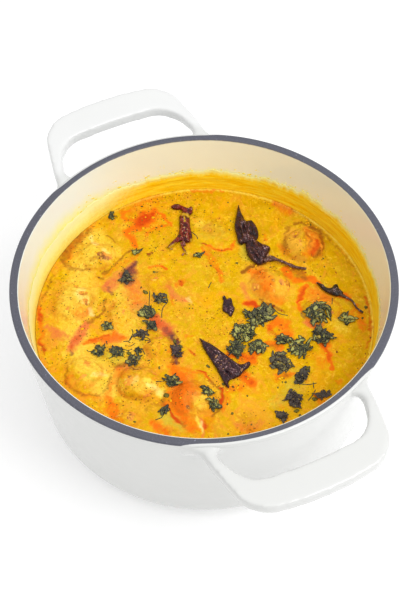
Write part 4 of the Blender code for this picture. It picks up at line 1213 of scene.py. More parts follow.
def curry_material():
    """Curdled yellow gravy: mottled, flecked and dusted, and tinted by the painted streaks, with painted
    shade towards the back right and in its hollows, and painted highlights among the streaks.
    """
    finish = Finish("kadhi", 0.34, Specular_IOR_Level=0.07, Specular_Tint=(1.0, 0.7, 0.15))
    wisps = finish.ramp(finish.noise(0.018, detail=6, distortion=2.0), 0.38, 0.64)
    clots = finish.noise(0.0045, detail=6, distortion=0.9, roughness=0.66)
    grain = finish.noise(0.0015, detail=3, roughness=0.7)
    deep = finish.math("MULTIPLY_ADD", wisps, 0.45, finish.ramp(clots, 0.36, 0.66, -0.20, 0.45))
    # painted shade: darker towards the back right
    deep = finish.math("MULTIPLY_ADD", finish.attribute("deep"), 0.18, deep)
    finish.base = finish.mix(finish.ramp(deep, 0, 1), KADHI, KADHI_DEEP_AND_SHADE)
    field = finish.noise(0.034, detail=5, distortion=1.2, roughness=0.6)
    finish.lay(finish.ramp(field, 0.50, 0.66, 0, 0.55), KADHI_OLIVE)
    finish.lay(finish.ramp(field, 0.46, 0.34, 0, 0.5), KADHI_ORANGE)
    rosy = finish.attribute("rosy")
    blush = finish.noise(0.010, detail=7, distortion=1.4, roughness=0.70)
    blush = finish.math("MULTIPLY_ADD", rosy, 0.09, blush)
    finish.lay(finish.ramp(blush, 0.50, 0.74, 0, 0.75), KADHI_BLUSH)
    fleck = finish.noise(0.0034, detail=6, distortion=0.8, roughness=0.68)
    finish.lay(finish.ramp(fleck, 0.52, 0.68, 0, 0.65), KADHI_FLECK)
    # the painted streaks, partly painted highlights and shade on and beside the fritters
    for index, (name, tint) in enumerate(TINTS.items()):
        finish.lay(finish.patchy(name, 0.0042 + 0.0004 * index), tint)
    seam = finish.math("MULTIPLY", finish.attribute("seam"), finish.ramp(field, 0.44, 0.60))
    finish.lay(seam, KADHI_SEAM)
    # painted shade in the hollows of its relief
    hollow = finish.math("MULTIPLY", finish.attribute("hollow"), finish.ramp(clots, 0.25, 0.55))
    finish.lay(hollow, KADHI_HOLLOW_SHADE)
    spot = finish.math("MULTIPLY_ADD", rosy, 0.05, finish.noise(0.0021, detail=3, roughness=0.6))
    finish.lay(finish.ramp(spot, 0.66, 0.74, 0, 0.6), KADHI_SPOT)
    finish.lay(finish.ramp(grain, 0.42, 0.30, 0, 0.22), KADHI_DUST)
    fine = finish.math("MULTIPLY", grain, 0.5)
    finish.bump(finish.math("MULTIPLY_ADD", clots, 1.6, fine), 0.0006)
    return finish.ready()


def residue_material():
    """Curry dried on the wall: golden where thick and lemon where thin."""
    finish = Finish("dried_kadhi", 0.38, Specular_IOR_Level=0.12, Specular_Tint=(1.0, 0.8, 0.3))
    streak = finish.noise(0.0045, detail=5, stretch=(0.3, 0.3, 3.6), distortion=0.5)
    fine = finish.noise(0.002, detail=4, roughness=0.7)
    grain = finish.ramp(fine, 0.2, 0.8, -0.3, 0.3)
    finish.base = finish.mix(finish.ramp(streak, 0.38, 0.62), DRIED, DRIED_PALE)
    thin = finish.math("ADD", finish.attribute("thin"), grain)
    finish.lay(finish.ramp(thin, 0.1, 1.0), LEMON)
    finish.lay(finish.attribute("orange"), DRIED_ORANGE)
    finish.lay(finish.attribute("fade"), CREAM)
    finish.bump(finish.math("MULTIPLY_ADD", streak, 1.5, fine), 0.00025)
    return finish.ready()


def crust_material():
    """Fried batter under a thin coat: orange to brown, with painted shade in its hollows."""
    finish = Finish("crust", 0.45, Specular_IOR_Level=0.35)
    patch = finish.ramp(finish.noise(0.006, detail=5, distortion=1.0), 0.35, 0.65)
    finish.base = finish.mix(patch, CRUST_DARK, CRUST)
    # painted shade in its hollows
    finish.lay(finish.attribute("hollow"), CRUST_HOLLOW_SHADE)
    coat = finish.noise(0.0035, detail=4, distortion=1.5)
    finish.lay(finish.ramp(coat, 0.5, 0.68), CRUST_COAT)
    finish.bump(finish.noise(0.0012, detail=4, roughness=0.7), 0.0004)
    return finish.ready()


def chilli_material(name):
    """A dried pod: nearly black, redder on its thin ridges, partly a painted highlight, with painted glints
    on them, and oily.
    """
    dark, light, roughness = POD_SKINS[name]
    shine = {"Specular_IOR_Level": 0.15, "Coat_Weight": 0.35, "Coat_Roughness": 0.08}
    finish = Finish(name, roughness, **shine)
    patch = finish.ramp(finish.noise(0.003, detail=5, distortion=0.5), 0.42, 0.68)
    ridge = finish.attribute("ridge")
    # the ridges lighter and redder, partly a painted highlight
    share = finish.math("MULTIPLY_ADD", patch, 0.55, finish.math("MULTIPLY", ridge, 0.45))
    finish.base = finish.mix(finish.math("MINIMUM", share, 1.0), dark, light)
    # painted highlights: pale glints on the ridges
    glint = finish.ramp(finish.noise(0.0022, detail=5, distortion=1.6, roughness=0.65), 0.54, 0.64)
    glint = finish.math("MULTIPLY", glint, finish.ramp(ridge, 0.15, 0.65, 0, 0.9))
    finish.lay(glint, POD_GLINT)
    finish.lay(finish.attribute("pale"), POD_PALE)
    finish.lay(finish.attribute("coat"), POD_COAT)
    grain = finish.noise(0.0012, detail=4)
    finish.bump(finish.math("MULTIPLY_ADD", finish.cells(0.0021), 0.9, grain), 0.0012)
    return finish.ready()


def leaf_material():
    """Wilted coriander: blackish at its edges, partly painted shade between the shards, olive inside,
    flecked with curry.
    """
    finish = Finish("coriander", 0.42, Specular_IOR_Level=0.25)
    fleck = finish.ramp(finish.noise(0.0014, detail=3, roughness=0.6), 0.3, 0.7, -0.35, 0.35)
    # darker at the shards' edges: partly painted shade
    share = finish.math("ADD", finish.attribute("fresh"), fleck)
    finish.base = finish.mix(finish.ramp(share, 0.0, 0.8), LEAF_DARK, LEAF_GREEN)
    finish.lay(finish.ramp(share, 0.7, 1.3), LEAF_FRESH)
    finish.lay(finish.attribute("wilt"), LEAF_WILTED)
    splash = finish.noise(0.0024, detail=4, distortion=1.0)
    finish.lay(finish.ramp(splash, 0.60, 0.70, 0, 0.8), LEAF_SPLASH)
    finish.bump(finish.noise(0.0009, detail=3, stretch=(1, 1, 0.4)), 0.0004)
    return finish.ready()


def bit_material(name, first, second, roughness):
    """Small bits of one kind, each a little different from the next."""
    finish = Finish(name, roughness, Specular_IOR_Level=0.1)
    fleck = finish.ramp(finish.noise(0.002, detail=2), 0.35, 0.65)
    finish.base = finish.mix(fleck, first, second)
    finish.bump(finish.noise(0.0006, detail=2), 0.0001)
    return finish.ready()


def floor_material():
    finish = Finish("floor", 0.6, Emission_Color=(1.0, 1.0, 1.0), Emission_Strength=0.36)
    finish.base = finish.mix(finish.noise(0.2), (0.66, 0.66, 0.66), (0.64, 0.64, 0.64))
    return finish.ready()


# ------------------------------------------------------------------ pot


def inner_radius(height):
    return INNER_TOP - INNER_DRAFT * (WALL_TOP - height)


def outer_radius(height):
    return blend(OUTER_FOOT, OUTER_TOP, (height - FOOT_CURVE) / (WALL_TOP - FOOT_CURVE))


def arc(centre_x, centre_z, radius, start, end, steps):
    """Points on an arc, in a turned profile. Angles are in degrees."""
    points = []
    for step in range(steps + 1):
        cos, sin = direction(math.radians(start + (end - start) * step / steps))
        points.append((centre_x + radius * cos, centre_z + radius * sin))
    return points


def straight(start, end, steps):
    """Points between two, without the ends."""
    shares = [step / steps for step in range(1, steps)]
    return [(blend(start[0], end[0], share), blend(start[1], end[1], share)) for share in shares]


def pot_profile():
    """From the middle of the floor over the rim to the middle of the foot."""
    curve_top = FLOOR + INNER_CURVE
    profile = [(0, FLOOR)]
    profile += arc(inner_radius(curve_top) - INNER_CURVE, curve_top, INNER_CURVE, -90, 0, 8)
    profile += straight(profile[-1], (INNER_TOP, WALL_TOP), 90) + [(INNER_TOP, WALL_TOP)]
    edge = RIM_OUTER - LIP_ROUND
    profile += arc(RIM_INNER + LIP_ROUND, RIM_HEIGHT - LIP_ROUND, LIP_ROUND, 180, 90, 5)
    profile += straight(profile[-1], (edge, RIM_HEIGHT), 5)
    profile += arc(edge, RIM_HEIGHT - LIP_ROUND, LIP_ROUND, 90, 0, 5)
    profile += arc(edge, WALL_TOP + LIP_ROUND, LIP_ROUND, 0, -80, 4)
    foot = arc(OUTER_FOOT - FOOT_CURVE, FOOT_CURVE, FOOT_CURVE, 0, -90, 10)
    profile += [(OUTER_TOP, WALL_TOP)] + straight((OUTER_TOP, WALL_TOP), foot[0], 14)
    return profile + foot + [(0, 0)]


def swept(section, closed):
    """A section swept round the axis. A closed one makes a ring."""
    size = len(section)
    points = []
    faces = []
    for step in range(POT_STEPS):
        cos, sin = direction(2 * math.pi * step / POT_STEPS)
        points += [(r * cos, r * sin, z) for r, z in section]
        here, there = step * size, (step + 1) % POT_STEPS * size
        for index in range(size if closed else size - 1):
            after = (index + 1) % size
            faces.append((here + index, there + index, there + after, here + after))
    return points, faces


def turned(name, profile):
    """A profile turned round the axis, closed at both poles."""
    section = [point for point in profile if point[0] > 0]
    size = len(section)
    points, faces = swept(section, closed=False)
    for pole, index in ((profile[0], 0), (profile[-1], size - 1)):
        points.append((0, 0, pole[1]))
        ring = [step * size + index for step in range(POT_STEPS)]
        for first, second in zip(ring, ring[1:] + ring[:1]):
            turn = (first, second) if index else (second, first)
            faces.append((len(points) - 1, *turn))
    return mesh_of(name, points, [face[::-1] for face in faces])


def wall_cutter():
    """A solid that holds all of the pot but its handles."""
    top = RIM_HEIGHT + CUT_MARGIN
    edge = RIM_OUTER + CUT_CLEAR
    low = (outer_radius(HANDLE_LOW) + CUT_CLEAR, HANDLE_LOW)
    profile = [(0, top), (edge, top), (edge, WALL_TOP), (OUTER_TOP + CUT_CLEAR, WALL_TOP), low]
    profile += [(RIM_OUTER + CUT_MARGIN, HANDLE_LOW), (RIM_OUTER + CUT_MARGIN, -CUT_CLEAR)]
    return turned("wall", profile + [(0, -CUT_CLEAR)])


def root_band():
    """A closed ring just inside the outer face of the wall and the rim."""
    low, high = ROOT_BAND
    foot = outer_radius(low)
    edge = RIM_OUTER - ROOT_SUNK
    section = [(foot - ROOT_DEEP, low), (foot - ROOT_SUNK, low), (OUTER_TOP - ROOT_SUNK, WALL_TOP)]
    section += [(edge, WALL_TOP + ROOT_LIP), (edge, high), (RIM_OUTER - ROOT_DEEP, high)]
    return swept(section, closed=True)


def flare(reach, radius):
    """How far a fillet of that radius widens a shape at a distance from the wall."""
    reach = np.clip(reach, 0, radius)
    return radius - np.sqrt(radius**2 - (radius - reach) ** 2)


def relaxed(mesh, weight, times):
    """The mesh's points drawn towards their neighbours, each by its own weight."""
    pairs = np.empty(len(mesh.edges) * 2, np.int32)
    mesh.edges.foreach_get("vertices", pairs)
    first, second = pairs.reshape(-1, 2).T
    co = coordinates(mesh)
    count = np.bincount(pairs, minlength=len(co))
    for _ in range(times):
        total = np.zeros_like(co)
        for axis in range(3):
            total[:, axis] += np.bincount(first, co[second, axis], len(co))
            total[:, axis] += np.bincount(second, co[first, axis], len(co))
        co += weight[:, None] * (total / count[:, None] - co)
    return co


def handles_mesh():
    """The handles of the pot with soft edges, and the strip of wall that they melt into."""
    mesh = combined(welded_copy("pot"), "DIFFERENCE", wall_cutter())
    co = coordinates(mesh)
    radius = from_axis(co)
    buried = radius < RIM_OUTER + 2 * CUT_CLEAR
    co[buried, :2] *= (1 - HANDLE_BURIED / radius[buried])[:, None]
    set_coordinates(mesh, co)
    remesh = ("REMESH", {"mode": "VOXEL", "voxel_size": HANDLE_VOXEL})
    mesh = with_modifiers(mesh, remesh)
    co = coordinates(mesh)
    out = vectors(mesh.vertex_normals, "vector")
    widening = flare(from_axis(co) - OUTER_TOP, FILLET)
    co[:, 2] -= np.where(out[:, 2] < UNDERSIDE, widening, 0)
    side = np.sign(co[:, 1])
    outward = smoothstep(*FILLET_SIDE, np.abs(co[:, 1])) * np.clip(2 * out[:, 1] * side, 0, 1)
    co[:, 1] += side * outward * widening
    mesh = mesh_of("handles", *joined([(co, faces_of(mesh)), root_band()]))
    smooth = ("SMOOTH", {"factor": 0.5, "iterations": HANDLE_SMOOTHING})
    mesh = with_modifiers(mesh, remesh, smooth)
    reach = from_axis(coordinates(mesh)) - OUTER_TOP
    pull = ROOT_PULL * (1 - smoothstep(*ROOT_REACH, reach))
    set_coordinates(mesh, relaxed(mesh, pull, ROOT_SMOOTHING))
    return mesh


def make_pot():
    """The pot, painted with how far each point lies, in mm, inside each kind of surface."""
    mesh = combined(turned("pot", pot_profile()), "UNION", handles_mesh())
    co = coordinates(mesh)
    height = co[:, 2]
    radius = from_axis(co)
    seen = as_seen(co)
    left = on_the_left(co)
    outer = blend(BARE_AT_HANDLES, BARE_REACH, smoothstep(*HANDLE_SIDE, np.abs(co[:, 1])))
    lap = CREAM_EDGE - CREAM_SLANT * seen[:, 1] * MM / RIM_INNER
    iron = np.minimum(np.minimum(radius - lap, outer - radius), height - BARE_LIP)
    middle = (inner_radius(height) + outer_radius(height)) / 2
    inside = np.where(height > BARE_LIP - MM, RIM_INNER + MM, middle) - radius
    inside = np.where(height < LEVEL - 10 * MM, -MM, inside)
    above = (height - residue_top(np.arctan2(co[:, 1], co[:, 0]))) / MM
    fading = np.clip(1 - np.maximum(above, 0) / blend(*STAIN_REACH, left), 0, 1)
    pot = add_piece(
        "pot_body", mesh, enamel_material(), "enamel", ["pot"],
        iron=iron / MM,
        inside=inside / MM,
        stain=blend(*STAIN, left) * fading**STAIN_FADE,
        left=left,
        # painted light on the further handle
        handle=smoothstep(*FAR_HANDLE_LIGHT_REACH, radius - RIM_OUTER) * (seen[:, 1] > 0),
    )
    mesh.set_sharp_from_angle(angle=POT_SHARP)
    return pot


def residue_top(turns):
    """Height of the residue's ragged upper edge at each angle round the wall."""
    round_wall = np.column_stack((np.cos(turns), np.sin(turns), np.zeros_like(turns))) * INNER_TOP
    swell = rough(round_wall, 0.045, 2, seed=21)
    ragged = rough(round_wall, 0.009, 4, seed=22)
    fringe = np.abs(rough(round_wall, 0.0060, 4, seed=24))
    from_splash = (turns - SPLASH_TURN + np.pi) % (2 * np.pi) - np.pi
    everywhere, splashed = RESIDUE_FRINGE
    reach = everywhere + splashed * np.exp(-((from_splash / SPLASH_WIDTH) ** 2))
    return RESIDUE_HEIGHT + RESIDUE_SWELL * swell + RESIDUE_RAGGED * ragged + reach * fringe


def residue_points():
    """The points of a thin skin on the wall, and how far up it each of them lies."""
    steps, rows = RESIDUE_STEPS, RESIDUE_ROWS
    turns = np.linspace(0, 2 * np.pi, steps, endpoint=False)
    share = np.linspace(0, 1, rows)
    height = blend(LEVEL - RESIDUE_SUNK, residue_top(turns)[:, None], share)
    unit = np.stack((np.cos(turns), np.sin(turns)), axis=1)
    flat = np.column_stack((np.repeat(unit, rows, axis=0) * INNER_TOP, height.ravel()))
    ridges = rough(flat * (0.25, 0.25, 2.6), 0.006, 4, seed=30).reshape(steps, rows)
    lumps = rough(flat, 0.005, 3, seed=33).reshape(steps, rows)
    thick = RESIDUE_THICK + RESIDUE_RIDGES * ridges + RESIDUE_LUMPS * lumps
    thick = thick * np.clip((1 - share) / RESIDUE_TAPER, 0, 1)
    thick = thick * (1 - RESIDUE_THIN_LEFT * on_the_left(flat).reshape(steps, rows))
    wall = inner_radius(height) - RESIDUE_IN_WALL
    points = []
    for radius in (wall - np.maximum(thick, RESIDUE_THINNEST), wall):
        layer = np.stack((unit[:, :1] * radius, unit[:, 1:] * radius, height), axis=2)
        points.append(layer.reshape(-1, 3))
    return np.concatenate(points), np.tile(share, 2 * steps)


def residue_faces():
    """The faces of a skin of two layers round the wall, closed at its lower and upper edge."""
    steps, rows = RESIDUE_STEPS, RESIDUE_ROWS
    faces = []
    behind = steps * rows
    for step in range(steps):
        here, there = step * rows, (step + 1) % steps * rows
        for row in range(rows - 1):
            inner = (there + row, here + row, here + row + 1, there + row + 1)
            faces += [inner, tuple(behind + index for index in reversed(inner))]
        for row, turn in ((0, 1), (rows - 1, -1)):
            edge = (here + row, there + row, behind + there + row, behind + here + row)
            faces.append(edge[::turn])
    return faces


def make_residue():
    """The band of curry left on the wall by stirring."""
    points, up = residue_points()
    left = on_the_left(points)
    fade_right, fade_left = RESIDUE_FADE
    right_from, left_from = RESIDUE_FADE_FROM
    least, more = RESIDUE_LEMON_LEFT
    fade = fade_right * (1 - left) * smoothstep(right_from, 1.0, up)
    thin = RESIDUE_LEMON * smoothstep(RESIDUE_LEMON_FROM, 1.0, up) * (1 - left)
    low_edge = 1 - smoothstep(0.0, RESIDUE_ORANGE_TO, up)
    return add_piece(
        "residue", mesh_of("residue", points, residue_faces()), residue_material(), "curry",
        thin=thin + left * (least + more * up),
        fade=fade + fade_left * left * smoothstep(left_from, 1.0, up),
        orange=RESIDUE_ORANGE * low_edge * rough(points, 0.02, 3, seed=40),
    )


def make_drops(rng):
    """Small splashes on the wall above the residue, each pressed flat against it."""
    points, faces = ball(1)
    shapes = []
    for _ in range(DROPS):
        turn = rng.uniform(-1, 1) * DROP_SPREAD + DROP_TURN
        above = rng.expovariate(1 / DROP_REACH)
        size = rng.uniform(*DROP_SIZE) ** 2 * math.exp(-above / (4 * DROP_REACH))
        height = float(residue_top(np.array([turn]))[0]) + (above - DROP_SUNK) * MM
        if height > WALL_TOP - DROP_CLEAR * MM:
            continue
        drop = lumpy(points, rng) * MM
        drop = drop * (DROP_THICK, size * rng.uniform(*DROP_WIDTH), size * DROP_HEIGHT)
        shapes.append((rotated(drop + (inner_radius(height), 0, height), turn), faces))
    splash = bit_material("splash", (0.98, 0.86, 0.16), (0.96, 0.74, 0.05), 0.5)
    return add_piece("drops", mesh_of("drops", *joined(shapes)), splash, "curry")


# ------------------------------------------------------------------ food


def painted(seen, stroke):
    """How far each place lies inside a stroke, from 1 on its line to 0 at its edge."""
    best = np.zeros(len(seen))
    if len(stroke) == 1:
        stroke = stroke * 2
    for (x0, y0, w0), (x1, y1, w1) in zip(stroke, stroke[1:]):
        along = np.array((x1 - x0, y1 - y0), float)
        length = max(float(along @ along), 1e-9)
        share = np.clip(((seen - (x0, y0)) @ along) / length, 0, 1)
        near = np.hypot(*(seen - (x0, y0) - share[:, None] * along).T)
        best = np.maximum(best, 1 - near / (STROKE_SOFT * blend(w0, w1, share)))
    return smoothstep(0, 0.9, best)


def wandering(points):
    """Where the points are seen, moved a little, so that painted strokes have ragged edges."""
    seen = as_seen(points)
    flat = np.column_stack((seen, np.zeros(len(seen))))
    (wide, far), (narrow, near) = EDGE_WANDERS
    shift = []
    for seed in (50, 60):
        shift.append(far * rough(flat, wide, 2, seed) + near * rough(flat, narrow, 2, seed + 5))
    return seen + np.column_stack(shift)


def make_fritter(index, material):
    """A fritter with a craggy crust, in the form of its solid."""
    name = f"pakora_{index:02d}"
    mesh = with_modifiers(welded_copy(name), ("SUBSURF", {"levels": 3, "render_levels": 3}))
    co = coordinates(mesh)
    crag = rough(co, 0.007, 4, seed=index)
    nub = np.abs(rough(co, 0.0032, 3, seed=index + 20))
    outward = -CRUST_SUNK + CRAG * crag + NUB * nub
    set_coordinates(mesh, co + vectors(mesh.vertex_normals, "vector") * outward[:, None])
    # painted shade: darker in the crust's hollows
    hollow = smoothstep(0.25, -0.9, crag + 0.8 * (nub - 0.4))
    return add_piece(f"fritter_{index:02d}", mesh, material, "fritter", [name], hollow=hollow)


def folded_disc(cells, radius):
    """X and Y of a square grid folded onto a disc, which crowds it nowhere."""
    side = np.linspace(-1, 1, cells + 1)
    first, second = np.meshgrid(side, side, indexing="ij")
    wide = np.abs(first) > np.abs(second)
    reach = np.where(wide, first, second)
    other = np.where(wide, second, first)
    ratio = np.divide(other, reach, out=np.zeros_like(reach), where=reach != 0)
    turn = np.where(wide, ratio * np.pi / 4, np.pi / 2 - ratio * np.pi / 4)
    return radius * reach * np.cos(turn), radius * reach * np.sin(turn)


def blurred(grid, times):
    for _ in range(times):
        padded = np.pad(grid, 1, mode="edge")
        grid = (padded[:-2, 1:-1] + padded[2:, 1:-1] + padded[1:-1, :-2] + padded[1:-1, 2:]) / 4
    return grid


def smooth_maximum(first, second, reach):
    near = np.clip(1 - np.abs(first - second) / reach, 0, 1)
    return np.maximum(first, second) + reach * near * near / 4


def crust_top(x, y, fritter):
    """Height of a fritter's top over the grid, and below the pot where there is none."""
    co = coordinates(fritter.data)
    low, high = co.min(axis=0), co.max(axis=0)
    ground = ground_of([fritter])
    top = np.full(x.shape, -1.0)
    for spot in np.argwhere((x > low[0]) & (x < high[0]) & (y > low[1]) & (y < high[1])):
        hit = ground.under(x[tuple(spot)], y[tuple(spot)])
        if hit:
            top[tuple(spot)] = hit.z
    return top


def curry_surface(fritters):
    """X, Y and height of the curry's surface, draped over the fritters."""
    radius = inner_radius(LEVEL) - GAP
    x, y = folded_disc(CURRY_CELLS, radius)
    flat = np.column_stack((x.ravel(), y.ravel(), np.zeros(x.size)))
    ripple = SWIRL * rough(flat, 0.03, 3, seed=70) + GRAIN * rough(flat, 0.005, 4, seed=75)
    height = LEVEL + ripple.reshape(x.shape)
    for index, fritter in enumerate(fritters, start=1):
        top = crust_top(x, y, fritter)
        if not (top > 0).any():
            continue
        base = np.maximum(top, LEVEL - COAT_LOW)
        smooth, tight = (blurred(base, times) for times in COAT_SMOOTHING)
        coat = blend(smooth, tight, ROUGH_COAT.get(index, OTHER_COATS)) + FILM
        height = np.maximum(smooth_maximum(height, coat, COAT_BLEND), top + THIN_FILM)
    domed = np.clip((height - LEVEL) / DOME, 0, 1)
    folds = 1 - 2 * np.abs(rough(flat, 0.0085, 4, seed=80))
    relief = (FOLDS * folds + LUMPS * rough(flat, 0.0042, 3, seed=85)).reshape(x.shape)
    to_wall = radius - np.hypot(x, y)
    return x, y, height + relief * blend(*RELIEF, domed) + CLIMB * np.exp(-to_wall / CLIMB_REACH)


def ring_of(cells):
    """The indices round the edge of a square grid, anticlockwise from above."""
    size = cells + 1
    ring = [row * size for row in range(cells)]
    ring += [cells * size + column for column in range(cells)]
    ring += [row * size + cells for row in range(cells, 0, -1)]
    return ring + list(range(cells, 0, -1))


def curry_body(x, y, height):
    """The whole body of the curry: its surface, its side down the wall and its bottom."""
    surface = np.column_stack((x.ravel(), y.ravel(), height.ravel()))
    size = CURRY_CELLS + 1
    faces = []
    for row, column in itertools.product(range(CURRY_CELLS), repeat=2):
        corner = row * size + column
        faces.append((corner, corner + size, corner + size + 1, corner + 1))
    above = ring_of(CURRY_CELLS)
    unit = surface[above, :2] / from_axis(surface[above])[:, None]
    low = FLOOR + GAP
    centre = inner_radius(low + INNER_CURVE) - INNER_CURVE - GAP
    side = [(inner_radius(LEVEL - SIDE_DEPTH) - GAP, LEVEL - SIDE_DEPTH)]
    side += arc(centre, low + INNER_CURVE, INNER_CURVE, 0, -90, 4)
    points = [surface]
    start = len(surface)
    for radius, level in side:
        below = list(range(start, start + len(unit)))
        points.append(np.column_stack((unit * radius, np.full(len(unit), level))))
        faces += band(below, above)
        start += len(unit)
        above = below
    points.append(np.array([(0, 0, low)]))
    faces += [(start, second, first) for first, second in zip(above, above[1:] + above[:1])]
    return np.concatenate(points), faces


def tints(points, seen):
    """What is painted on the curry in each tint."""
    layers = {name: np.zeros(len(points)) for name in TINTS}
    for name, strength, stroke in STREAKS:
        layers[name] = np.maximum(layers[name], strength * painted(seen, stroke))
    to_wall = inner_radius(LEVEL) / MM - from_axis(points) / MM
    # paler in a thin ring beside the wall, at the right and back
    wall_pale = WALL_PALE * smoothstep(*WALL_PALE_REACH, to_wall) * (1 - on_the_left(points))
    wall_pale = wall_pale * (points[:, 2] > LEVEL - 2 * MM)
    layers["pale"] = np.maximum(layers["pale"], wall_pale)
    return layers


def make_curry(fritters):
    """The curry, painted with its streaks, with painted shade in its hollows and towards the back right,
    and darker round the fritters.
    """
    x, y, height = curry_surface(fritters)
    points, faces = curry_body(x, y, height)
    below = np.zeros(len(points) - height.size)
    raised = np.clip((height - LEVEL) / HOLLOW_RISE, 0, 1)
    # painted shade in the hollows of its relief
    hollow = HOLLOW_SHADE * smoothstep(*HOLLOW_DEPTH, blurred(height, 5) - height)
    hollow = hollow * blend(*HOLLOW_SHOWS, raised)
    lift = (blurred(height, 3) - LEVEL) / MM
    seam = SEAM * smoothstep(*SEAM_FROM, lift) * (1 - smoothstep(*SEAM_TO, lift))
    seam = seam * (np.hypot(x, y) < SEAM_FIELD)
    seen = wandering(points)
    return add_piece(
        "kadhi", mesh_of("curry", points, faces), curry_material(), "curry", ["curry"],
        # painted shade, darker towards the back right
        deep=smoothstep(-40, 110, seen @ (0.75, 0.55)),
        rosy=smoothstep(70, -70, seen @ (1, 0.6)),
        hollow=np.concatenate((hollow.ravel(), below)),
        seam=np.concatenate((seam.ravel(), below)),
        **tints(points, seen),
    )


def pod_shape(edge_height, rise, grain_turn, outline, rng, seed):
    """One dried pod or flap: points, faces and how much each point stands on a wrinkle."""
    points, depth, faces = sheet(outline, POD_CELL, rng)
    depth = depth / np.percentile(depth, 97)
    dome = np.sqrt(1 - (1 - np.clip(depth, 0, 1)) ** 2)
    cos, sin = direction(math.radians(grain_turn))
    along, across = points @ (cos, sin), points @ (-sin, cos)
    grain = np.column_stack((along * POD_STRETCH, across, np.full(len(along), 3.0)))
    folds = 1 - 2 * np.abs(rough(grain, POD_FOLD_SIZE, 2, seed))
    wrinkle = 1 - 2 * np.abs(rough(grain, POD_WRINKLE_SIZE, 3, seed + 3))
    inside = smoothstep(0, POD_EDGE, depth)
    smooth, folded = POD_TOP
    top = rise * dome * (smooth + folded * folds) + POD_WRINKLE * wrinkle * inside
    bottom = edge_height - POD_BELOW * rise * dome
    solid, faces = skins(points, edge_height + top, bottom, faces)
    of_folds, of_wrinkles = POD_RIDGES
    ridge = np.zeros(len(solid))
    ridge[: len(points)] = smoothstep(0.1, 1.0, of_folds * folds + of_wrinkles * wrinkle) * inside
    right, away, height = solid.T
    return part_points(right, away - SIGHT * edge_height, height), faces, ridge


def make_chilli(name, material, rng, seed):
    """A dried chilli: its pods or flaps, its stalk, and pale seeds where it is torn."""
    shapes = []
    ridges = []
    pale = []

    def add(points, faces, ridge, paleness):
        shapes.append((points, faces))
        ridges.append(np.zeros(len(points)) + ridge)
        pale.append(np.full(len(points), paleness))

    for part, pod in enumerate(PODS[name]):
        add(*pod_shape(*pod, rng, seed + 9 * part), 0)
    for stalk in STALKS.get(name, []):
        right, away, height, radius = denser(stalk, 6).T
        spine = part_points(right, away - SIGHT * height, height)
        knotty = 1 + STALK_KNOTS * noise(spine, 0.002, seed)
        stations = np.column_stack((spine, radius * knotty * MM))
        add(*tube(stations, STALK_SIDES), STALK_RIDGE, STALK_PALE)
    ground = Ground(shapes)
    for right, away, length, width, turn in SEEDS.get(name, []):
        x, y = place(right, away - SIGHT * SEED_LIFT)
        at = np.array(ground.under(x, y) or (x, y, LEVEL + SEED_FALLEN * MM))
        size = np.array((length, width, SEED_HEIGHT * width)) * MM
        turn = math.radians(turn) + FRONT_TURN
        add(*bit(ball(2), at, *size, turn, random.Random(seed)), 1, 1)
    points, faces = joined(shapes)
    seen = wandering(points)
    coat = np.zeros(len(points))
    for stroke in COATED.get(name, []):
        coat = np.maximum(coat, painted(seen, stroke))
    return add_piece(
        name.replace("chilli", "pod"), mesh_of(name, points, faces), material, "chilli", [name],
        coat=coat,
        ridge=np.concatenate(ridges),
        pale=np.concatenate(pale),
    )


def shard_outline(rng, length, width):
    """A torn strip of coriander leaf: bent, lobed, toothed and uneven."""
    first, second = rng.uniform(0, 2 * math.pi, 2)
    bend = rng.uniform(-SHARD_BEND, SHARD_BEND) / length
    lobes, lobe = SHARD_LOBES
    teeth, tooth = SHARD_TEETH
    outline = []
    for turn in np.linspace(0, 2 * math.pi, SHARD_POINTS, endpoint=False):
        cos, sin = direction(turn)
        reach = 1 / math.hypot(2 * cos / length, 2 * sin / width)
        reach *= 1 + lobe * math.cos(lobes * turn + first) + tooth * math.cos(teeth * turn + second)
        reach *= rng.uniform(*SHARD_UNEVEN)
        along = reach * cos
        outline.append((along, reach * sin + bend * along * along))
    return outline


def spread(points, size, spot, share, turn, rng):
    """A shard's points moved to their place in a clump, that share of the way out."""
    right, away, length, width, clump_turn = spot
    reach = math.sqrt(share)
    cos, sin = direction(turn + rng.uniform(-SHARD_STRAYS, SHARD_STRAYS))
    room_along, room_across = (length, width) - SHARD_INSIDE * 2 * np.array(size)
    along = reach * cos * max(room_along / 2, SHARD_LEAST_ROOM)
    across = reach * sin * max(room_across / 2, SHARD_LEAST_ROOM)
    points = rotated(points, rng.uniform(0, math.pi)) + (along, across, 0)
    return rotated(points, math.radians(clump_turn)) + (right, away, 0)


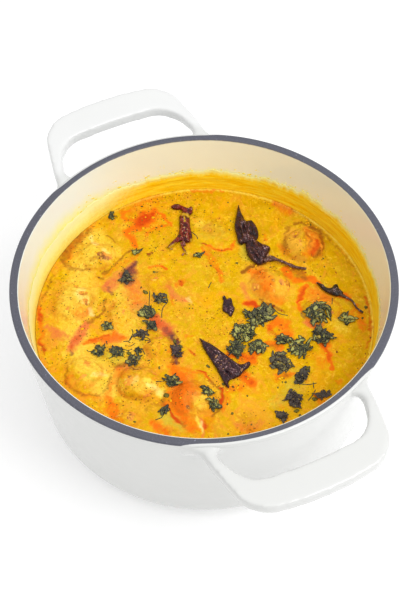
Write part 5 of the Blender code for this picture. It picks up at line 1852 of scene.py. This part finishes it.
def make_herb(index, spot, ground, material, rng):
    """Chopped coriander lying as wet, torn pieces of leaf over the form of its solid."""
    right, away, length, width, _ = spot
    count = max(3, round(math.pi / 4 * length * width / SHARD_AREA))
    share_kept, width_kept = SHARD_SHORTER
    low, more = SHARD_STACK
    crumple_height, crumple_size = SHARD_CRUMPLE
    start = rng.uniform(0, 2 * math.pi)
    shapes = []
    tones = []
    for number in range(count):
        long = rng.uniform(*SHARD_LENGTH) * min(1, share_kept + width / width_kept)
        wide = long * rng.uniform(*SHARD_WIDTH)
        points, depth, faces = sheet(shard_outline(rng, long, wide), SHARD_CELL, rng)
        share = (number + rng.uniform(0, 1)) / count
        flat = np.column_stack((points, np.full(len(points), number * 3.7)))
        flat = spread(flat, (long, wide), spot, share, start + SHARD_TURN * number, rng)
        tilt = rng.uniform(-SHARD_TILT, SHARD_TILT, 2)
        stack = rng.uniform(low, low + more * min(1, count / SHARD_FULL))
        crumple = crumple_height * rough(flat, crumple_size, 2, seed=index)
        curl = SHARD_CURL * (1 + np.sign(points[:, 1])) * (1 - smoothstep(0, 1.0, depth))
        lift = np.clip(stack + points @ tilt + crumple + curl, *SHARD_LIFT)
        top = lift + [ground.above_curry(*where) for where in flat[:, :2]]
        solid, faces = skins(flat[:, :2], top, top - LEAF_THICK, faces)
        shapes.append((part_points(*solid.T), faces))
        inner = np.zeros(len(solid))
        # darker towards each shard's edge, partly its own dark edge and partly painted shade between
        # shards, and lighter where it is crumpled up
        inner[: len(points)] = smoothstep(0.25, 1.1, depth) + 1.2 * crumple
        tones.append(inner * 2.6 * rng.uniform(0.1, 1.0) ** 1.2)
    blotch = 0.5 + 0.7 * noise(np.array([(right, away, 0.0)]), 9.0, seed=3)[0]
    fresh = np.concatenate(tones) * FRESH.get(index, 0.4 + 0.3 * blotch)
    wilt = np.full(len(fresh), WILTED.get(index, 0.1))
    mesh = mesh_of(f"herb_{index:02d}", *joined(shapes))
    node = f"coriander_{index:02d}"
    return add_piece(mesh.name, mesh, material, "leaf", [node], fresh=fresh, wilt=wilt)


def make_stems(ground, material):
    """Thin stalks of herb lying on the food."""
    shapes = []
    for stem in STEMS:
        spine = [(*ground.seen_at(right, away), STEM_RADIUS) for right, away in denser(stem, 6)]
        shapes.append(tube(spine, 6))
    return add_piece("stems", mesh_of("stems", *joined(shapes)), material, "leaf")


def make_bits(name, ground, rng):
    """Many small bits of one kind, some at given places and the rest at random."""
    count, lengths, flat, slot, spots, lean, look = BITS[name]
    shape = ball(1)
    shapes = []
    field = inner_radius(LEVEL) / MM - BITS_CLEAR
    places = list(spots)
    while len(places) < count + len(spots):
        right = rng.uniform(-field, field)
        away = rng.uniform(-field, field)
        patch = noise(np.array([(right, away, 0)]), BITS_PATCH, seed=95)[0]
        if math.hypot(right, away) < field and patch > lean * right / field:
            places.append((right, away, rng.uniform(*lengths)))
    for right, away, length in places:
        at = ground.seen_at(right, away)
        if math.hypot(at.x, at.y) > field * MM:
            continue
        width = length * rng.uniform(*BIT_WIDTH)
        size = (length * MM, width * MM, length * flat * MM)
        at.z += size[2] * BIT_LIFT
        shapes.append(bit(shape, np.array(at), *size, rng.uniform(0, math.pi), rng))
    return add_piece(name, mesh_of(name, *joined(shapes)), bit_material(*look), slot)


# ------------------------------------------------------------------ studio


def make_stage():
    bm = bmesh.new()
    bmesh.ops.create_grid(bm, x_segments=1, y_segments=1, size=STAGE_HALF)
    mesh = mesh_from(bm, "floor")
    mesh.materials.append(floor_material())
    floor = add_object("floor", mesh)
    floor.location.z = -STAGE_DROP


def make_sky():
    """White light from all round, strongest from straight above."""
    world = bpy.data.worlds.new("studio")
    bpy.context.scene.world = world
    world.use_nodes = True
    sky = Nodes(world.node_tree)
    background = world.node_tree.nodes["Background"].inputs
    up = sky.node("SeparateXYZ", "Z", Vector=sky.node("TexCoord", "Generated"))
    square = sky.math("MULTIPLY", up, up)
    sky.put(background["Color"], (1.0, 1.0, 1.0))
    strength = sky.math("MULTIPLY_ADD", square, SKY_TOP - SKY_SIDE, SKY_SIDE)
    sky.put(background["Strength"], strength)


def make_lamp():
    light = bpy.data.lights.new("key", "AREA")
    light.shape = "DISK"
    light.size = LAMP_SIZE
    light.energy = LAMP_POWER
    lamp = add_object("key", light)
    lamp.location = (*place(*LAMP_PLACE), LAMP_HEIGHT)
    aim = Vector((0, 0, LEVEL)) - lamp.location
    lamp.rotation_euler = aim.to_track_quat("-Z", "Y").to_euler()


def make_camera():
    """The camera, placed by what it aims at and how far it stands back."""
    cos, sin = direction(FRONT_TURN)
    level, upward = direction(CAMERA_ELEVATION)
    roll_cos, roll_sin = direction(CAMERA_ROLL)
    back = Vector((sin * level, -cos * level, upward))
    right = Vector((cos, sin, 0))
    up = back.cross(right)
    across = roll_cos * right - roll_sin * up
    upright = roll_sin * right + roll_cos * up
    per_pixel = CAMERA_DISTANCE / FOCAL
    middle = Vector((0, 0, RIM_HEIGHT)) + back * CAMERA_DISTANCE
    middle += (across * AIM_RIGHT - upright * AIM_DOWN) * per_pixel
    data = bpy.data.cameras.new("camera")
    data.sensor_width = SENSOR
    data.sensor_fit = "AUTO"
    data.lens = SENSOR * FOCAL / PICTURE_HEIGHT
    data.clip_start = CAMERA_NEAR
    camera = add_object("camera", data)
    turn = Matrix((across, upright, back)).transposed()
    camera.matrix_world = Matrix.Translation(middle) @ turn.to_4x4()
    bpy.context.scene.camera = camera


def main():
    bpy.context.scene.view_settings.view_transform = "Standard"
    make_camera()
    make_sky()
    make_lamp()
    make_stage()
    make_pot()
    make_residue()
    make_drops(random.Random(8))
    crust = crust_material()
    fritters = [make_fritter(index, crust) for index in range(1, FRITTERS + 1)]
    ground = ground_of([make_curry(fritters), *fritters])
    rng = np.random.default_rng(9)
    pod_skins = {name: chilli_material(name) for name in POD_SKINS}
    for number, (name, skin) in enumerate(SKIN_OF.items()):
        make_chilli(name, pod_skins[skin], rng, 100 + 20 * number)
    herb = leaf_material()
    for index, spot in enumerate(CORIANDER, start=1):
        make_herb(index, spot, ground, herb, rng)
    make_stems(ground, herb)
    scatter = random.Random(5)
    for name in BITS:
        make_bits(name, ground, scatter)


main()
